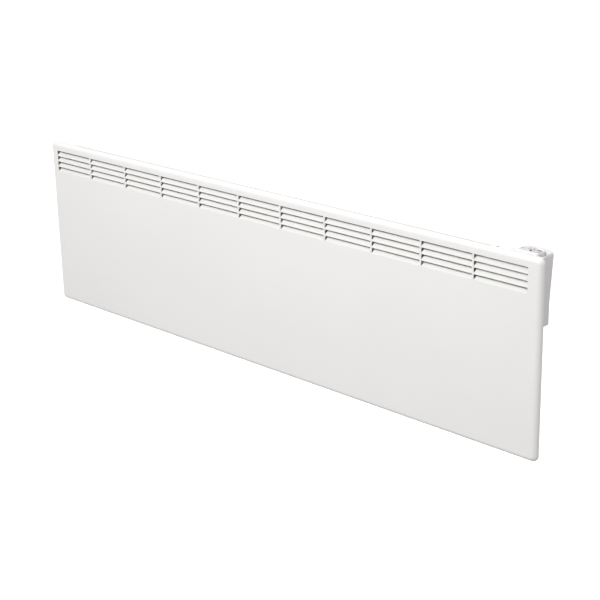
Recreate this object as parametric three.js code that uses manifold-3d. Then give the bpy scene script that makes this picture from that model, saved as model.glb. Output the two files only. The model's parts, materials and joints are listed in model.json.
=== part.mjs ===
// A wall-hung electric panel heater: a long, low sheet-steel convection heater with outlet louvres in its
// front, a plastic thermostat housing behind its top right corner, and a steel wall bracket that it tilts
// out from. Units are millimetres. The row frame has +X to the right, +Y into the wall and +Z up, with its
// origin on the wall, at the centre of the bracket rail. The heater itself is modelled in a frame of its
// own, which has x = 0 at mid length, y = 0 on the front face and z = 0 at the bottom edge.
import * as THREE from "three";
import { mergeVertices } from "three/addons/utils/BufferGeometryUtils.js";
import Module from "manifold-3d";

const wasm = await Module();
wasm.setup();

// ---------------------------------------------------------------- driving dimensions
const panelLength = 1436;
const panelHeight = 400;
const wallDistance = 85; // front face to wall
const railHeight = 230; // bracket rail's middle above the heater's bottom edge
const gap = 0.3; // between pieces that touch
const runningGap = 0.4; // round a piece that turns

// front panel
const panelSheet = 1.0;
const panelDepth = 12; // front face to the back of the return
const edgeRadius = 10; // soft bend between face and return
const cornerRadius = 12;
const lipWidth = 13; // return's inward lip
// louvres
const louvreRows = 4;
const groupWidth = 122;
const groupGap = 4; // metal left between two groups
const groupMargin = 24; // panel's left edge to the first slot, and the least left at the right
const slotHeight = 11.2;
const rowGap = 2; // metal left between two rows
const slotTop = 20; // panel's top edge to the first slot
const slatTilt = 55; // degrees back from the face
const slatReach = 10.6; // slat's length up its slope
const slatSideGap = 0.4;

// rear casing: a flange plate on the panel's lips, with a deep pan
const rearSheet = 0.7;
const rearInset = 4; // flange plate inside the panel's outline
const panDepth = 48; // front face to the pan's back
const panLeft = 37; // panel's left edge to the pan
const panToHousing = 13;
const panBottom = 14; // panel's bottom edge to the pan
const panBend = 5;
const inletCount = 14;
const inletLength = 62;
const inletWidth = 9;
const inletRise = 22; // pan's bottom to the back inlets

// air guides
const shieldSheet = 0.5;
const shieldFront = 15; // heat shield behind the front face
const shieldBottom = 42;
const shieldFromTop = 70; // panel's top edge to the shield's fold
const guideReach = 27; // air guide's curve, back to front

// heating element
const elementHeight = 76; // its axis above the heater's bottom edge
const elementClear = 5.5; // its arms' tips to the duct's walls
const armHalf = 23;
const armThick = 2;
const bossRadius = 7;
const rodRadius = 4.25;
const elementInset = 60; // element's end from the pan's wall
const rodStub = 16; // rod showing past the profile
const hangerSheet = 1.2;
const beadLength = 12;
const terminalRadius = 1.8;
const terminalLength = 20;

// thermostat housing; its heights are measured from the panel's top edge
const housingRight = 6; // panel's right edge to the housing
const housingLength = 123;
const housingTopDepth = 44.8; // front face to the housing's back, at the top
const housingFootDepth = 35.5; // and at the foot
const housingFrontDrop = 1.5; // its front wall, below the panel's top
const crestHeight = 5; // crest of its back wall, behind the control, above the panel's top
const wingDrop = 7.5; // the low wing beside the control
const slopeDrop = 92; // where the back starts to lean out
const housingDrop = 134; // the housing's foot
const trayDrop = 12; // floor of the tray that the control sits in
const crestStart = 62; // panel's right edge to the crest's left end
const crestRise = 26; // length of the curve from the wing to the crest
const crestFall = [16, 9]; // the crest's rounded right corner
const housingWall = 2;
const upperScrewDrop = 34;
// control
const coverLength = 50;
const coverFromEdge = 21; // panel's right edge to the control cover
const coverRise = 3; // above the panel's top
const coverWall = 1.5;
const coverCrown = 3;
const dialRadius = 9.5;
const dialRise = 2;
const dialPlace = 23; // cover's left end to the dial
const dialSeat = 0.8; // ring recess under the dial
const shaftRadius = 3;
const lampRadius = 1.5;
const lampPlace = 7; // cover's left end to the lamp
const rockerLength = 13;
const rockerWidth = 9;
const rockerPlace = 9; // cover's right end to the rocker
const rockerTilt = 7; // degrees either side of level
const switchWall = 0.6;
const thermostatLength = 44;
const leadRadius = 1.2;
const glandRadius = 5;
const glandNutRadius = 7.7; // across its corners, from the middle
const screwBoss = 4.6;
const wellOffset = 5;
const wellPitch = 8.5;
const wellDepth = 4;
const grommetRadius = 6;
const leadSpread = 1.7; // each lead's middle to the grommet's
const leadPitch = 4.6; // between the leads at the housing's foot
const leadLift = 20; // from one height to the next, along the rise
const leadSides = 8;
const leadRings = 3; // between two points of its route

// wall bracket
const armSpacing = 520;
const armWidth = 28;
const armSheet = 1.5;
const armFoot = 68; // arm's lower end above the heater's bottom edge
const armHead = 334;
const armGap = 3; // arm's front edge to the pan's back
const hookStep = 4; // arm's front edge, set back round the hook
const pinHeight = 80; // hang pin above the heater's bottom edge
const pinCover = 8; // hook's front edge to the pin
const pinRadius = 2.5;
const lugGap = 2; // hang lug's ears to the arm's cheeks
const lugEnd = 5.5; // radius of the ears round the pin
const railWidth = 40;
const latchHeight = 318; // latch tongue above the heater's bottom edge
const latchWidth = 12;
const latchSheet = 0.8;
const latchReach = 9; // tongue inside the pan

// screws
const screwShank = 1.7;
const screwHead = 3.6;
const screwHeadRise = 2.2;
const screwSlotDepth = 1;
const screwInset = 8; // panel's edge to the casing screws
const screwFromEnd = 86;
const screwToPan = 0.4; // a screw's head to the pan's wall
const screwFromLip = 3;

// ---------------------------------------------------------------- places worked out from them
const left = -panelLength / 2;
const right = panelLength / 2;
const plateFront = panelDepth + gap;
const plateBack = plateFront + rearSheet;
const groupPitch = groupWidth + groupGap;
const louvreGroups = Math.floor((panelLength - 2 * groupMargin + groupGap) / groupPitch);
const rowPitch = slotHeight + rowGap;

const housingX1 = right - housingRight;
const housingX0 = housingX1 - housingLength;
const housingFront = plateBack + gap;
const housingFrontTop = panelHeight - housingFrontDrop;
const housingTop = panelHeight + crestHeight;
const housingLowTop = panelHeight - wingDrop;
const housingSlopeFoot = panelHeight - slopeDrop;
const housingFoot = panelHeight - housingDrop;
const trayFloor = panelHeight - trayDrop;
const trayFront = housingFront + housingWall;
const trayBack = housingBack(trayFloor) - housingWall;
const coverTop = panelHeight + coverRise;
const coverX1 = right - coverFromEdge;
const coverX0 = coverX1 - coverLength;
const coverY0 = trayFront + gap;
const coverY1 = trayBack - gap;

const panX0 = left + panLeft;
const panX1 = housingX0 - panToHousing;
const panZ0 = panBottom;
const panZ1 = panelHeight - screwInset - screwHead - screwToPan;
const shieldTop = panelHeight - shieldFromTop;
const ductFront = shieldFront + shieldSheet;
const ductBack = panDepth - rearSheet;
const ductMiddle = (ductFront + ductBack) / 2;
const ductHalf = (ductBack - ductFront) / 2;
const armLean = THREE.MathUtils.radToDeg(Math.asin((ductHalf - elementClear) / armHalf));
const elementX0 = panX0 + elementInset;
const elementX1 = panX1 - elementInset;

const armDepth = wallDistance - panDepth - armGap;
const hookDepth = armDepth - hookStep;
const pinFromWall = hookDepth - pinCover;
const pinY = wallDistance - pinFromWall;
const tabDepth = hookDepth - 4; // the rail's end tabs, behind the hooks' front edges
const rivetRadius = 2.2;
const rivetY = -(armSheet + tabDepth) * 0.62;
const armInner = armWidth / 2 - armSheet;

// ---------------------------------------------------------------- geometry and solids
// A three.js geometry as a solid: its shared vertices are merged on position alone.
function solid(geometry) {
  const bare = geometry.index ? geometry.toNonIndexed() : geometry.clone();
  bare.deleteAttribute("normal");
  bare.deleteAttribute("uv");
  const merged = mergeVertices(bare, 1e-4);
  return new wasm.Manifold(
    new wasm.Mesh({
      numProp: 3,
      vertProperties: new Float32Array(merged.attributes.position.array),
      triVerts: new Uint32Array(merged.index.array),
    }),
  );
}

function geometryOf(body) {
  const mesh = body.getMesh();
  const indexed = new THREE.BufferGeometry();
  indexed.setAttribute("position", new THREE.BufferAttribute(mesh.vertProperties, 3));
  indexed.setIndex(new THREE.BufferAttribute(mesh.triVerts, 1));
  const flat = indexed.toNonIndexed();
  flat.computeVertexNormals();
  return flat;
}

// A box between two limits on each axis.
function box(x0, x1, y0, y1, z0, z1) {
  const g = new THREE.BoxGeometry(x1 - x0, y1 - y0, z1 - z0);
  return solid(g.translate((x0 + x1) / 2, (y0 + y1) / 2, (z0 + z1) / 2));
}

function extruded(outline, depth) {
  const shape = outline instanceof THREE.Shape
    ? outline
    : new THREE.Shape(outline.map(([u, v]) => new THREE.Vector2(u, v)));
  return new THREE.ExtrudeGeometry(shape, { depth, bevelEnabled: false, curveSegments: 6 });
}

const X = new THREE.Vector3(1, 0, 0);
const Y = new THREE.Vector3(0, 1, 0);
const Z = new THREE.Vector3(0, 0, 1);

// An outline in (y, z), carried along x.
function alongX(outline, x0, x1) {
  const turn = new THREE.Matrix4().makeBasis(Y, Z, X);
  return solid(extruded(outline, x1 - x0).applyMatrix4(turn).translate(x0, 0, 0));
}

// An outline in (x, z), carried along y.
function alongY(outline, y0, y1) {
  const turn = new THREE.Matrix4().makeBasis(X, Z, Y.clone().negate());
  return solid(extruded(outline, y1 - y0).applyMatrix4(turn).translate(0, y1, 0));
}

// A profile of [radius, height] points turned about the z axis, then pointed along an axis from a place.
function turned(profile, axis, place, segments = 16) {
  const points = profile.map(([r, h]) => new THREE.Vector2(r, h));
  const g = new THREE.LatheGeometry(points, segments);
  const turn = new THREE.Quaternion().setFromUnitVectors(Y, axis);
  return solid(g.applyQuaternion(turn).translate(...place));
}

function cylinder(radius, length, axis, place, segments = 16) {
  return turned([[0, 0], [radius, 0], [radius, length], [0, length]], axis, place, segments);
}

function ring(inner, outer, length, axis, place, segments = 16) {
  const profile = [[inner, 0], [outer, 0], [outer, length], [inner, length], [inner, 0]];
  return turned(profile, axis, place, segments);
}

const joined = (bodies) => bodies.reduce((all, body) => all.add(body));
const cut = (body, tools) => tools.reduce((rest, tool) => rest.subtract(tool), body);

// The outline of a rectangle with round corners, as points counter-clockwise in the plane of its two axes.
function roundedRectangle(u0, u1, v0, v1, radius, steps = 4) {
  const corners = [[u1, v1, 0], [u0, v1, 1], [u0, v0, 2], [u1, v0, 3]];
  return corners.flatMap(([u, v, quarter]) => {
    const cu = u + (u === u1 ? -radius : radius);
    const cv = v + (v === v1 ? -radius : radius);
    return Array.from({ length: steps + 1 }, (_, i) => {
      const angle = ((quarter + i / steps) * Math.PI) / 2;
      return [cu + radius * Math.cos(angle), cv + radius * Math.sin(angle)];
    });
  });
}

// A closed skin over rings of points: the rings hold equal numbers of points and bound a convex stack.
function lofted(rings) {
  const count = rings[0].length;
  const corners = [];
  const quad = (a, b, c, d) => corners.push(...a, ...b, ...c, ...a, ...c, ...d);
  for (let k = 0; k + 1 < rings.length; k += 1) {
    for (let i = 0; i < count; i += 1) {
      const j = (i + 1) % count;
      quad(rings[k][i], rings[k][j], rings[k + 1][j], rings[k + 1][i]);
    }
  }
  const first = rings[0];
  const last = rings[rings.length - 1];
  for (let i = 1; i + 1 < count; i += 1) {
    corners.push(...first[0], ...first[i + 1], ...first[i]);
    corners.push(...last[0], ...last[i], ...last[i + 1]);
  }
  const g = new THREE.BufferGeometry();
  g.setAttribute("position", new THREE.Float32BufferAttribute(corners, 3));
  const made = solid(g);
  if (made.volume() > 0) return made;
  const reversed = [];
  for (let i = 0; i < corners.length; i += 9) {
    reversed.push(...corners.slice(i, i + 3), ...corners.slice(i + 6, i + 9), ...corners.slice(i + 3, i + 6));
  }
  g.setAttribute("position", new THREE.Float32BufferAttribute(reversed, 3));
  return solid(g);
}

// A dish: a flat floor at one depth, whose edge bends round to a wall that runs to another depth.
// axis "y" dishes lie in x and z; axis "z" dishes lie in x and y.
function dish({ u0, u1, v0, v1, open, floor, corner, bend, axis = "y", steps = 4, bendSteps = 4 }) {
  const way = Math.sign(floor - open);
  const ringAt = (depth, inset) => {
    const outline = roundedRectangle(
      u0 + inset, u1 - inset, v0 + inset, v1 - inset, Math.max(corner - inset, 0.4), steps,
    );
    return outline.map(([u, v]) => (axis === "y" ? [u, depth, v] : [u, v, depth]));
  };
  const rings = [ringAt(open, 0)];
  for (let i = 0; i <= bendSteps; i += 1) {
    const angle = ((i / bendSteps) * Math.PI) / 2;
    rings.push(ringAt(floor - way * bend * (1 - Math.sin(angle)), bend * (1 - Math.cos(angle))));
  }
  return lofted(rings);
}

// ---------------------------------------------------------------- materials
const finish = (color, roughness, metalness) => (
  new THREE.MeshStandardMaterial({ color, roughness, metalness })
);
const whitePaint = finish(0xf2f2f0, 0.45, 0);
const galvanised = finish(0xb9bdbf, 0.45, 0.9);
const aluminium = finish(0xc9cbcc, 0.35, 0.95);
const zincScrew = finish(0xc4c6c4, 0.35, 0.9);
const whitePlastic = finish(0xf0efee, 0.4, 0);
const dialPlastic = finish(0xe9e9e8, 0.35, 0);
const darkPlastic = finish(0x2b2b2d, 0.5, 0);
const lampRed = finish(0xc8382a, 0.2, 0);
const ceramic = finish(0xe8e2d4, 0.6, 0);
const springSteel = finish(0x9a9da0, 0.35, 0.95);
const steelRod = finish(0x5e5a55, 0.5, 0.8);
const brass = finish(0xb79a5a, 0.35, 0.95);
const boardGreen = finish(0x2e6b45, 0.5, 0);
const blackRubber = finish(0x202022, 0.8, 0);
const wireBrown = finish(0x5b3a26, 0.55, 0);
const wireBlue = finish(0x2f5f9e, 0.55, 0);
const wireGreen = finish(0x6f9a35, 0.55, 0);

const heater = new THREE.Group();
heater.position.set(0, -wallDistance, -railHeight);
const bracket = new THREE.Group();

function piece(group, name, body, material) {
  const mesh = new THREE.Mesh(geometryOf(body), material);
  mesh.name = name;
  group.add(mesh);
}

// ---------------------------------------------------------------- front panel
// One slat, lanced on three sides from the face and bent back about its lower edge.
function slat(x0, x1, slotFoot) {
  const tilt = THREE.MathUtils.degToRad(slatTilt);
  const up = [Math.sin(tilt), Math.cos(tilt)];
  const back = [Math.cos(tilt), -Math.sin(tilt)];
  const rootY = panelSheet * 0.2;
  const at = (along, through) => [
    rootY + along * up[0] + through * back[0],
    slotFoot + along * up[1] + through * back[1],
  ];
  const thick = panelSheet * 0.8;
  const backRun = (thick - back[0] * thick) / up[0]; // where the slat's back leaves the sheet's
  const anchor = 0.9;
  const outline = [
    at(0, 0),
    [rootY, slotFoot - anchor],
    [panelSheet * 0.85, slotFoot - anchor],
    at(backRun, thick),
    at(slatReach, thick),
    at(slatReach, 0),
  ];
  return alongX(outline, x0 + slatSideGap, x1 - slatSideGap);
}

function frontPanel() {
  const skin = dish({
    u0: left, u1: right, v0: 0, v1: panelHeight,
    open: panelDepth, floor: 0, corner: cornerRadius, bend: edgeRadius,
  });
  const hollow = dish({
    u0: left + panelSheet, u1: right - panelSheet, v0: panelSheet, v1: panelHeight - panelSheet,
    open: panelDepth - panelSheet, floor: panelSheet,
    corner: cornerRadius - panelSheet, bend: edgeRadius - panelSheet,
  });
  const mouth = alongY(
    roundedRectangle(left + lipWidth, right - lipWidth, lipWidth, panelHeight - lipWidth, 4, 2),
    panelDepth - 2 * panelSheet, panelDepth + 1,
  );
  let body = cut(skin, [hollow, mouth]);
  const slats = [];
  for (let g = 0; g < louvreGroups; g += 1) {
    const x0 = left + groupMargin + g * groupPitch;
    const x1 = x0 + groupWidth;
    for (let row = 0; row < louvreRows; row += 1) {
      const top = panelHeight - slotTop - row * rowPitch;
      const foot = top - slotHeight;
      body = body.subtract(box(x0, x1, -1, panelSheet + 1, foot, top));
      slats.push(slat(x0, x1, foot));
    }
  }
  body = slats.reduce((all, one) => all.add(one), body);
  const screwHoles = casingScrewPlaces().map(([x, z]) => screwHole(x, panelDepth - 4, z));
  return cut(body, screwHoles);
}

// ---------------------------------------------------------------- screws
// Places, in x and z, of the screws that hold the rear casing to the panel's lips.
function casingScrewPlaces() {
  const across = [left + screwFromEnd, 0, panX1 - screwFromEnd];
  return [
    ...across.map((x) => [x, panelHeight - screwInset]),
    ...across.map((x) => [x, screwInset]),
    [left + screwInset, panelHeight / 2],
    [right - screwInset, panelHeight / 2],
  ];
}

// A hole that clears a screw's shank, from y = start towards the back.
function screwHole(x, start, z) {
  return cylinder(screwShank + gap, 8, Y, [x, start, z], 10);
}

// A pan-head screw whose head sits on a face at y = seat and whose shank runs towards the front.
function panHeadScrew(x, z, seat, length) {
  const profile = [
    [0, -length], [screwShank, 1.5 - length], [screwShank, 0],
    [screwHead, 0], [screwHead, screwHeadRise * 0.55], [screwHead * 0.7, screwHeadRise], [0, screwHeadRise],
  ];
  const slotFloor = seat + screwHeadRise - screwSlotDepth;
  const slot = box(x - screwHead, x + screwHead, slotFloor, slotFloor + 3, z - 0.45, z + 0.45);
  return turned(profile, Y, [x, seat, z], 10).subtract(slot);
}

// ---------------------------------------------------------------- rear casing
const armX = [-armSpacing / 2, armSpacing / 2];
const earthX = housingX0 + 25;
const earthZ = housingFoot - 51;
const grommetZ = housingFoot - 60;
const grommetY = (plateBack + panDepth - panBend) / 2;

function rearCasing() {
  const plate = alongY(
    roundedRectangle(
      left + rearInset, right - rearInset, rearInset, panelHeight - rearInset, cornerRadius - rearInset, 3,
    ),
    plateFront, plateBack,
  );
  const pan = {
    u0: panX0, u1: panX1, v0: panZ0, v1: panZ1, corner: panBend + 1, bend: panBend, steps: 3, bendSteps: 3,
  };
  const shell = dish({ ...pan, open: plateFront + rearSheet / 2, floor: panDepth });
  const hollow = dish({
    ...pan, u0: panX0 + rearSheet, u1: panX1 - rearSheet, v0: panZ0 + rearSheet, v1: panZ1 - rearSheet,
    corner: panBend, bend: panBend - rearSheet, open: plateFront - 1, floor: panDepth - rearSheet,
  });
  const tools = [hollow];
  const inletPitch = (panX1 - panX0 - 40) / inletCount;
  for (let i = 0; i < inletCount; i += 1) {
    const middle = panX0 + 20 + (i + 0.5) * inletPitch;
    const [x0, x1] = [middle - inletLength / 2, middle + inletLength / 2];
    tools.push(box(x0, x1, ductMiddle - inletWidth, ductMiddle + inletWidth, panZ0 - 1, panZ0 + 2));
    tools.push(box(x0, x1, panDepth - 2, panDepth + 1, panZ0 + inletRise, panZ0 + inletRise + inletWidth));
  }
  armX.forEach((x) => {
    const half = latchWidth / 2 + 1.5;
    tools.push(box(x - half, x + half, panDepth - 2, panDepth + 1, latchHeight - 3.2, latchHeight + 3));
  });
  [...casingScrewPlaces(), [earthX, earthZ], ...housingScrewPlaces()].forEach(([x, z]) => {
    tools.push(screwHole(x, plateFront - 3, z));
  });
  tools.push(cylinder(grommetRadius + gap, 10, X, [panX1 - 5, grommetY, grommetZ], 16));
  return cut(plate.add(shell), tools);
}

// ---------------------------------------------------------------- air guides
function heatShield() {
  const [x0, x1] = [panX0 + 8, panX1 - 8];
  const back = shieldFront + shieldSheet;
  const fold = 8;
  const outline = [
    [shieldFront, shieldBottom], [back, shieldBottom], [back, shieldTop - shieldSheet],
    [back + fold, shieldTop + fold * 0.4], [back + fold, shieldTop + fold * 0.4 + shieldSheet],
    [shieldFront, shieldTop],
  ];
  const windows = [-0.42, -0.14, 0.14, 0.42].map((share) => {
    const x = (x0 + x1) / 2 + share * (x1 - x0) * 0.98;
    return box(x - 15, x + 15, shieldFront - 1, back + 1, shieldBottom + 8, shieldBottom + 13);
  });
  return cut(alongX(outline, x0, x1), windows);
}

// A curved sheet that turns the rising air forwards to the louvres.
function airGuide() {
  const backY = panDepth - rearSheet - gap;
  const topZ = panZ1 - rearSheet - gap;
  const outer = new THREE.Shape();
  const footZ = topZ - guideReach - 12;
  outer.moveTo(backY, footZ);
  outer.lineTo(backY, topZ - guideReach);
  outer.quadraticCurveTo(backY, topZ, backY - guideReach, topZ);
  outer.lineTo(backY - guideReach, topZ - shieldSheet);
  outer.quadraticCurveTo(backY - shieldSheet, topZ - shieldSheet, backY - shieldSheet, topZ - guideReach);
  outer.lineTo(backY - shieldSheet, footZ);
  outer.closePath();
  return alongX(outer, panX0 + 10, panX1 - 10);
}

// ---------------------------------------------------------------- heating element
// An X of four leaning arms about a round boss, with short ribs, drawn from boxes turned about x.
function elementProfile() {
  const lengthways = (outline, lean) => {
    const turn = new THREE.Matrix4().makeRotationX(THREE.MathUtils.degToRad(lean));
    const basis = new THREE.Matrix4().makeBasis(Y, Z, X);
    const shape = extruded(outline, elementX1 - elementX0).applyMatrix4(basis);
    return solid(shape.applyMatrix4(turn).translate(elementX0, ductMiddle, elementHeight));
  };
  const bar = (v0, v1, w0, w1) => [[v0, w0], [v1, w0], [v1, w1], [v0, w1]];
  const parts = [armLean, -armLean].flatMap((lean) => [
    lengthways(bar(-armThick / 2, armThick / 2, -armHalf, armHalf), lean),
    ...[-0.86, -0.6, 0.6, 0.86].map((share) => {
      const reach = share * share * 3.4 + 1.2;
      return lengthways(bar(-reach, reach, share * armHalf - 0.5, share * armHalf + 0.5), lean);
    }),
  ]);
  const run = elementX1 - elementX0;
  const boss = cylinder(bossRadius, run, X, [elementX0, ductMiddle, elementHeight], 16);
  const bore = cylinder(rodRadius + gap, run + 2, X, [elementX0 - 1, ductMiddle, elementHeight], 16);
  return joined([boss, ...parts]).subtract(bore);
}

const rodX0 = elementX0 - rodStub;
const rodX1 = elementX1 + rodStub;

function heatingRod() {
  const run = rodX1 - rodX0;
  const profile = [
    [0, -terminalLength], [terminalRadius, -terminalLength], [terminalRadius, 0], [rodRadius, 0],
    [rodRadius, run], [terminalRadius, run], [terminalRadius, run + terminalLength],
    [0, run + terminalLength],
  ];
  return turned(profile, X, [rodX0, ductMiddle, elementHeight], 14);
}

function ceramicBead(side) {
  const x = side < 0 ? rodX0 - gap - beadLength : rodX1 + gap;
  return ring(terminalRadius + gap, rodRadius + 1.4, beadLength, X, [x, ductMiddle, elementHeight], 14);
}

// A sheet hanger on the pan's back wall. Its window is cut by the caller to what it holds.
function hanger(x, window) {
  const back = panDepth - rearSheet - gap;
  const half = armHalf + 9;
  const plate = box(x, x + hangerSheet, ductFront + 0.5, back, elementHeight - half, elementHeight + half);
  const foot = box(x, x + 14, back - hangerSheet, back, elementHeight + half - 12, elementHeight + half);
  return cut(plate.add(foot), [window]);
}

function endHanger(x) {
  const hole = cylinder(rodRadius + gap, 6, X, [x - 2, ductMiddle, elementHeight], 14);
  return hanger(x, hole);
}

function middleHanger(x) {
  const [deep, tall] = [ductHalf - 2.2, armHalf + 1];
  const window = box(
    x - 2, x + hangerSheet + 2, ductMiddle - deep, ductMiddle + deep,
    elementHeight - tall, elementHeight + tall,
  );
  return hanger(x, window);
}

// A bimetal cut-out on the pan's back wall, over the element.
const cutoutX = panX1 - 120;
const cutoutZ = 140;

function overheatCutout() {
  const back = panDepth - rearSheet - gap;
  const profile = [[0, 0], [8, 0], [8, 3.5], [12, 3.5], [12, 4.5], [7, 4.5], [7, 10], [0, 10]];
  const disc = turned(profile, Y.clone().negate(), [cutoutX, back, cutoutZ], 20);
  const tabs = [-4, 4].map((dx) => box(
    cutoutX + dx - 2.5, cutoutX + dx + 2.5, back - 15, back - 9.5, cutoutZ - 0.4, cutoutZ + 0.4,
  ));
  return joined([disc, ...tabs]);
}

// ---------------------------------------------------------------- thermostat housing

function housingScrewPlaces() {
  return [
    [housingX0 + 9, housingFoot + 10],
    [right - lipWidth - screwFromLip, housingFoot + 10],
    [housingX0 + 9, panelHeight - upperScrewDrop],
  ];
}

// The back of the housing, in y, at a height.
function housingBack(z) {
  const t = Math.min(Math.max((z - housingSlopeFoot) / (housingTop - housingSlopeFoot), 0), 1);
  return housingFootDepth + t * (housingTopDepth - housingFootDepth);
}

// The housing's outline from the side: a plumb foot, a back that leans out, a top that falls to the front.
function housingSide() {
  const bevel = 1.5;
  return [
    [housingFront, housingFoot], [housingFootDepth - bevel, housingFoot],
    [housingFootDepth, housingFoot + bevel], [housingFootDepth, housingSlopeFoot],
    [housingTopDepth, housingTop], [housingTopDepth - 8, housingTop - 0.6], [housingFront, housingFrontTop],
  ];
}

// Its outline from the front: a low wing on the left, which rises in a soft curve to the control's end.
function housingFace() {
  const crest = right - crestStart;
  const wingEnd = crest - crestRise;
  const middle = (crest + wingEnd) / 2;
  const [fallLength, fallHeight] = crestFall;
  const face = new THREE.Shape();
  face.moveTo(housingX0, housingFoot);
  face.lineTo(housingX1, housingFoot);
  face.lineTo(housingX1, housingTop - fallHeight);
  face.quadraticCurveTo(housingX1, housingTop, housingX1 - fallLength, housingTop);
  face.lineTo(crest, housingTop);
  face.bezierCurveTo(middle, housingTop, middle, housingLowTop, wingEnd, housingLowTop);
  face.lineTo(housingX0 + 4, housingLowTop);
  face.quadraticCurveTo(housingX0, housingLowTop, housingX0, housingLowTop - 4);
  face.closePath();
  return face;
}

const doorMiddle = housingX0 + 21; // where the leads pass the housing's foot
const glandX = housingX0 + 44;
const glandY = (housingFront + housingFootDepth) / 2;

function thermostatHousing() {
  const outer = alongX(housingSide(), housingX0, housingX1)
    .intersect(alongY(housingFace(), housingFront - 1, housingTopDepth + 1));
  const w = housingWall;
  const cavity = alongX(
    [
      [housingFront - 1, housingFoot + w], [housingFootDepth - w, housingFoot + w],
      [housingFootDepth - w, housingSlopeFoot], [housingBack(trayFloor - w) - w, trayFloor - w],
      [housingFront - 1, trayFloor - w],
    ],
    housingX0 + w, housingX1 - w,
  );
  const tray = box(housingX0 + w, housingX1 - w, trayFront, trayBack, trayFloor, housingTop + 2);
  const well = box(coverX0 + 3, coverX1 - 3, coverY0 + 3, coverY1 - 3, trayFloor - 2 * w, trayFloor + 1);
  let body = cut(outer, [cavity, tray, well]);
  housingScrewPlaces().forEach(([x, z]) => {
    const back = housingBack(z);
    const boss = cylinder(screwBoss, back - housingFront - 0.5, Y, [x, housingFront, z], 14);
    body = body.add(boss);
  });
  const tools = housingScrewPlaces().flatMap(([x, z]) => {
    const back = housingBack(z);
    return [
      cylinder(screwShank + gap, back, Y, [x, housingFront - 1, z], 10),
      cylinder(screwHead + gap, 12, Y, [x, back - 5, z], 14),
    ];
  });
  const vents = Array.from({ length: 6 }, (_, i) => {
    const z = housingFoot + 22 + i * 7;
    return box(housingX0 + 44, housingX1 - 30, housingFootDepth - w - 3, housingFootDepth + 3, z, z + 2.4);
  });
  tools.push(...vents.filter((_, i) => housingFoot + 22 + i * 7 + 3 < housingSlopeFoot));
  tools.push(cylinder(glandRadius + gap, 8, Z, [glandX, glandY, housingFoot - 3], 16));
  const doorHalf = leadPitch + leadRadius + 1;
  const leadDoor = box(
    doorMiddle - doorHalf, doorMiddle + doorHalf, housingFront - 1, leadDepth + leadRadius + 1.5,
    housingFoot - 1, housingFoot + w + 1,
  );
  tools.push(leadDoor);
  return cut(body, tools);
}

// ---------------------------------------------------------------- control on top of the housing
const dialX = coverX0 + dialPlace;
const dialY = (coverY0 + coverY1) / 2;
const rockerX = coverX1 - rockerPlace;
const lampX = coverX0 + lampPlace;

function controlCover() {
  const shell = dish({
    u0: coverX0, u1: coverX1, v0: coverY0, v1: coverY1, open: trayFloor + gap, floor: coverTop,
    corner: 5, bend: coverCrown, axis: "z",
  });
  const hollow = dish({
    u0: coverX0 + coverWall, u1: coverX1 - coverWall, v0: coverY0 + coverWall, v1: coverY1 - coverWall,
    open: trayFloor - 1, floor: coverTop - coverWall, corner: 3.4, bend: 1.5, axis: "z", steps: 3,
    bendSteps: 2,
  });
  const seat = cylinder(dialRadius + runningGap, 4, Z, [dialX, dialY, coverTop - dialSeat], 32);
  const shaftHole = cylinder(shaftRadius + runningGap, 8, Z, [dialX, dialY, coverTop - 6], 16);
  const margin = runningGap + switchWall + gap;
  const rockerHole = box(...rockerWindow(margin), coverTop - 5, coverTop + 3);
  const lampHole = cylinder(lampRadius + gap, 8, Z, [lampX, dialY, coverTop - 5], 12);
  return cut(shell, [hollow, seat, shaftHole, rockerHole, lampHole]);
}

// Limits in x and y of the rocker's outline, widened all round by a margin.
function rockerWindow(margin) {
  const [halfWidth, halfLength] = [rockerWidth / 2 + margin, rockerLength / 2 + margin];
  return [rockerX - halfWidth, rockerX + halfWidth, dialY - halfLength, dialY + halfLength];
}

// A knurled dial: a fluted rim with a raised pointer bar on its face.
function dial() {
  const rim = new THREE.Shape();
  const flutes = 20;
  for (let i = 0; i < flutes * 2; i += 1) {
    const angle = (i / (flutes * 2)) * Math.PI * 2;
    const radius = dialRadius - (i % 2 ? 0.45 : 0);
    rim[i ? "lineTo" : "moveTo"](radius * Math.cos(angle), radius * Math.sin(angle));
  }
  rim.closePath();
  const foot = coverTop - dialSeat + runningGap;
  const top = coverTop + dialRise;
  const disc = solid(extruded(rim, top - 0.6 - foot).translate(dialX, dialY, foot));
  const faceProfile = [[0, 0], [dialRadius - 1, 0], [dialRadius - 1.8, 0.8], [0, 0.8]];
  const face = turned(faceProfile, Z, [dialX, dialY, top - 0.8], 24);
  const barHalf = dialRadius - 2.4;
  const bar = box(dialX - 1, dialX + 1, dialY - barHalf, dialY + barHalf, top - 0.5, top + 1.4);
  return joined([disc, face, bar]);
}

const thermostatTop = trayFloor - 6;

// The shaft stops under the dial, which is pressed on its end.
function dialShaft() {
  const top = coverTop - dialSeat + runningGap - gap;
  const foot = thermostatTop + gap;
  return cylinder(shaftRadius, top - foot, Z, [dialX, dialY, foot], 14);
}

const rockerPivotZ = coverTop - 2.4;

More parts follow.
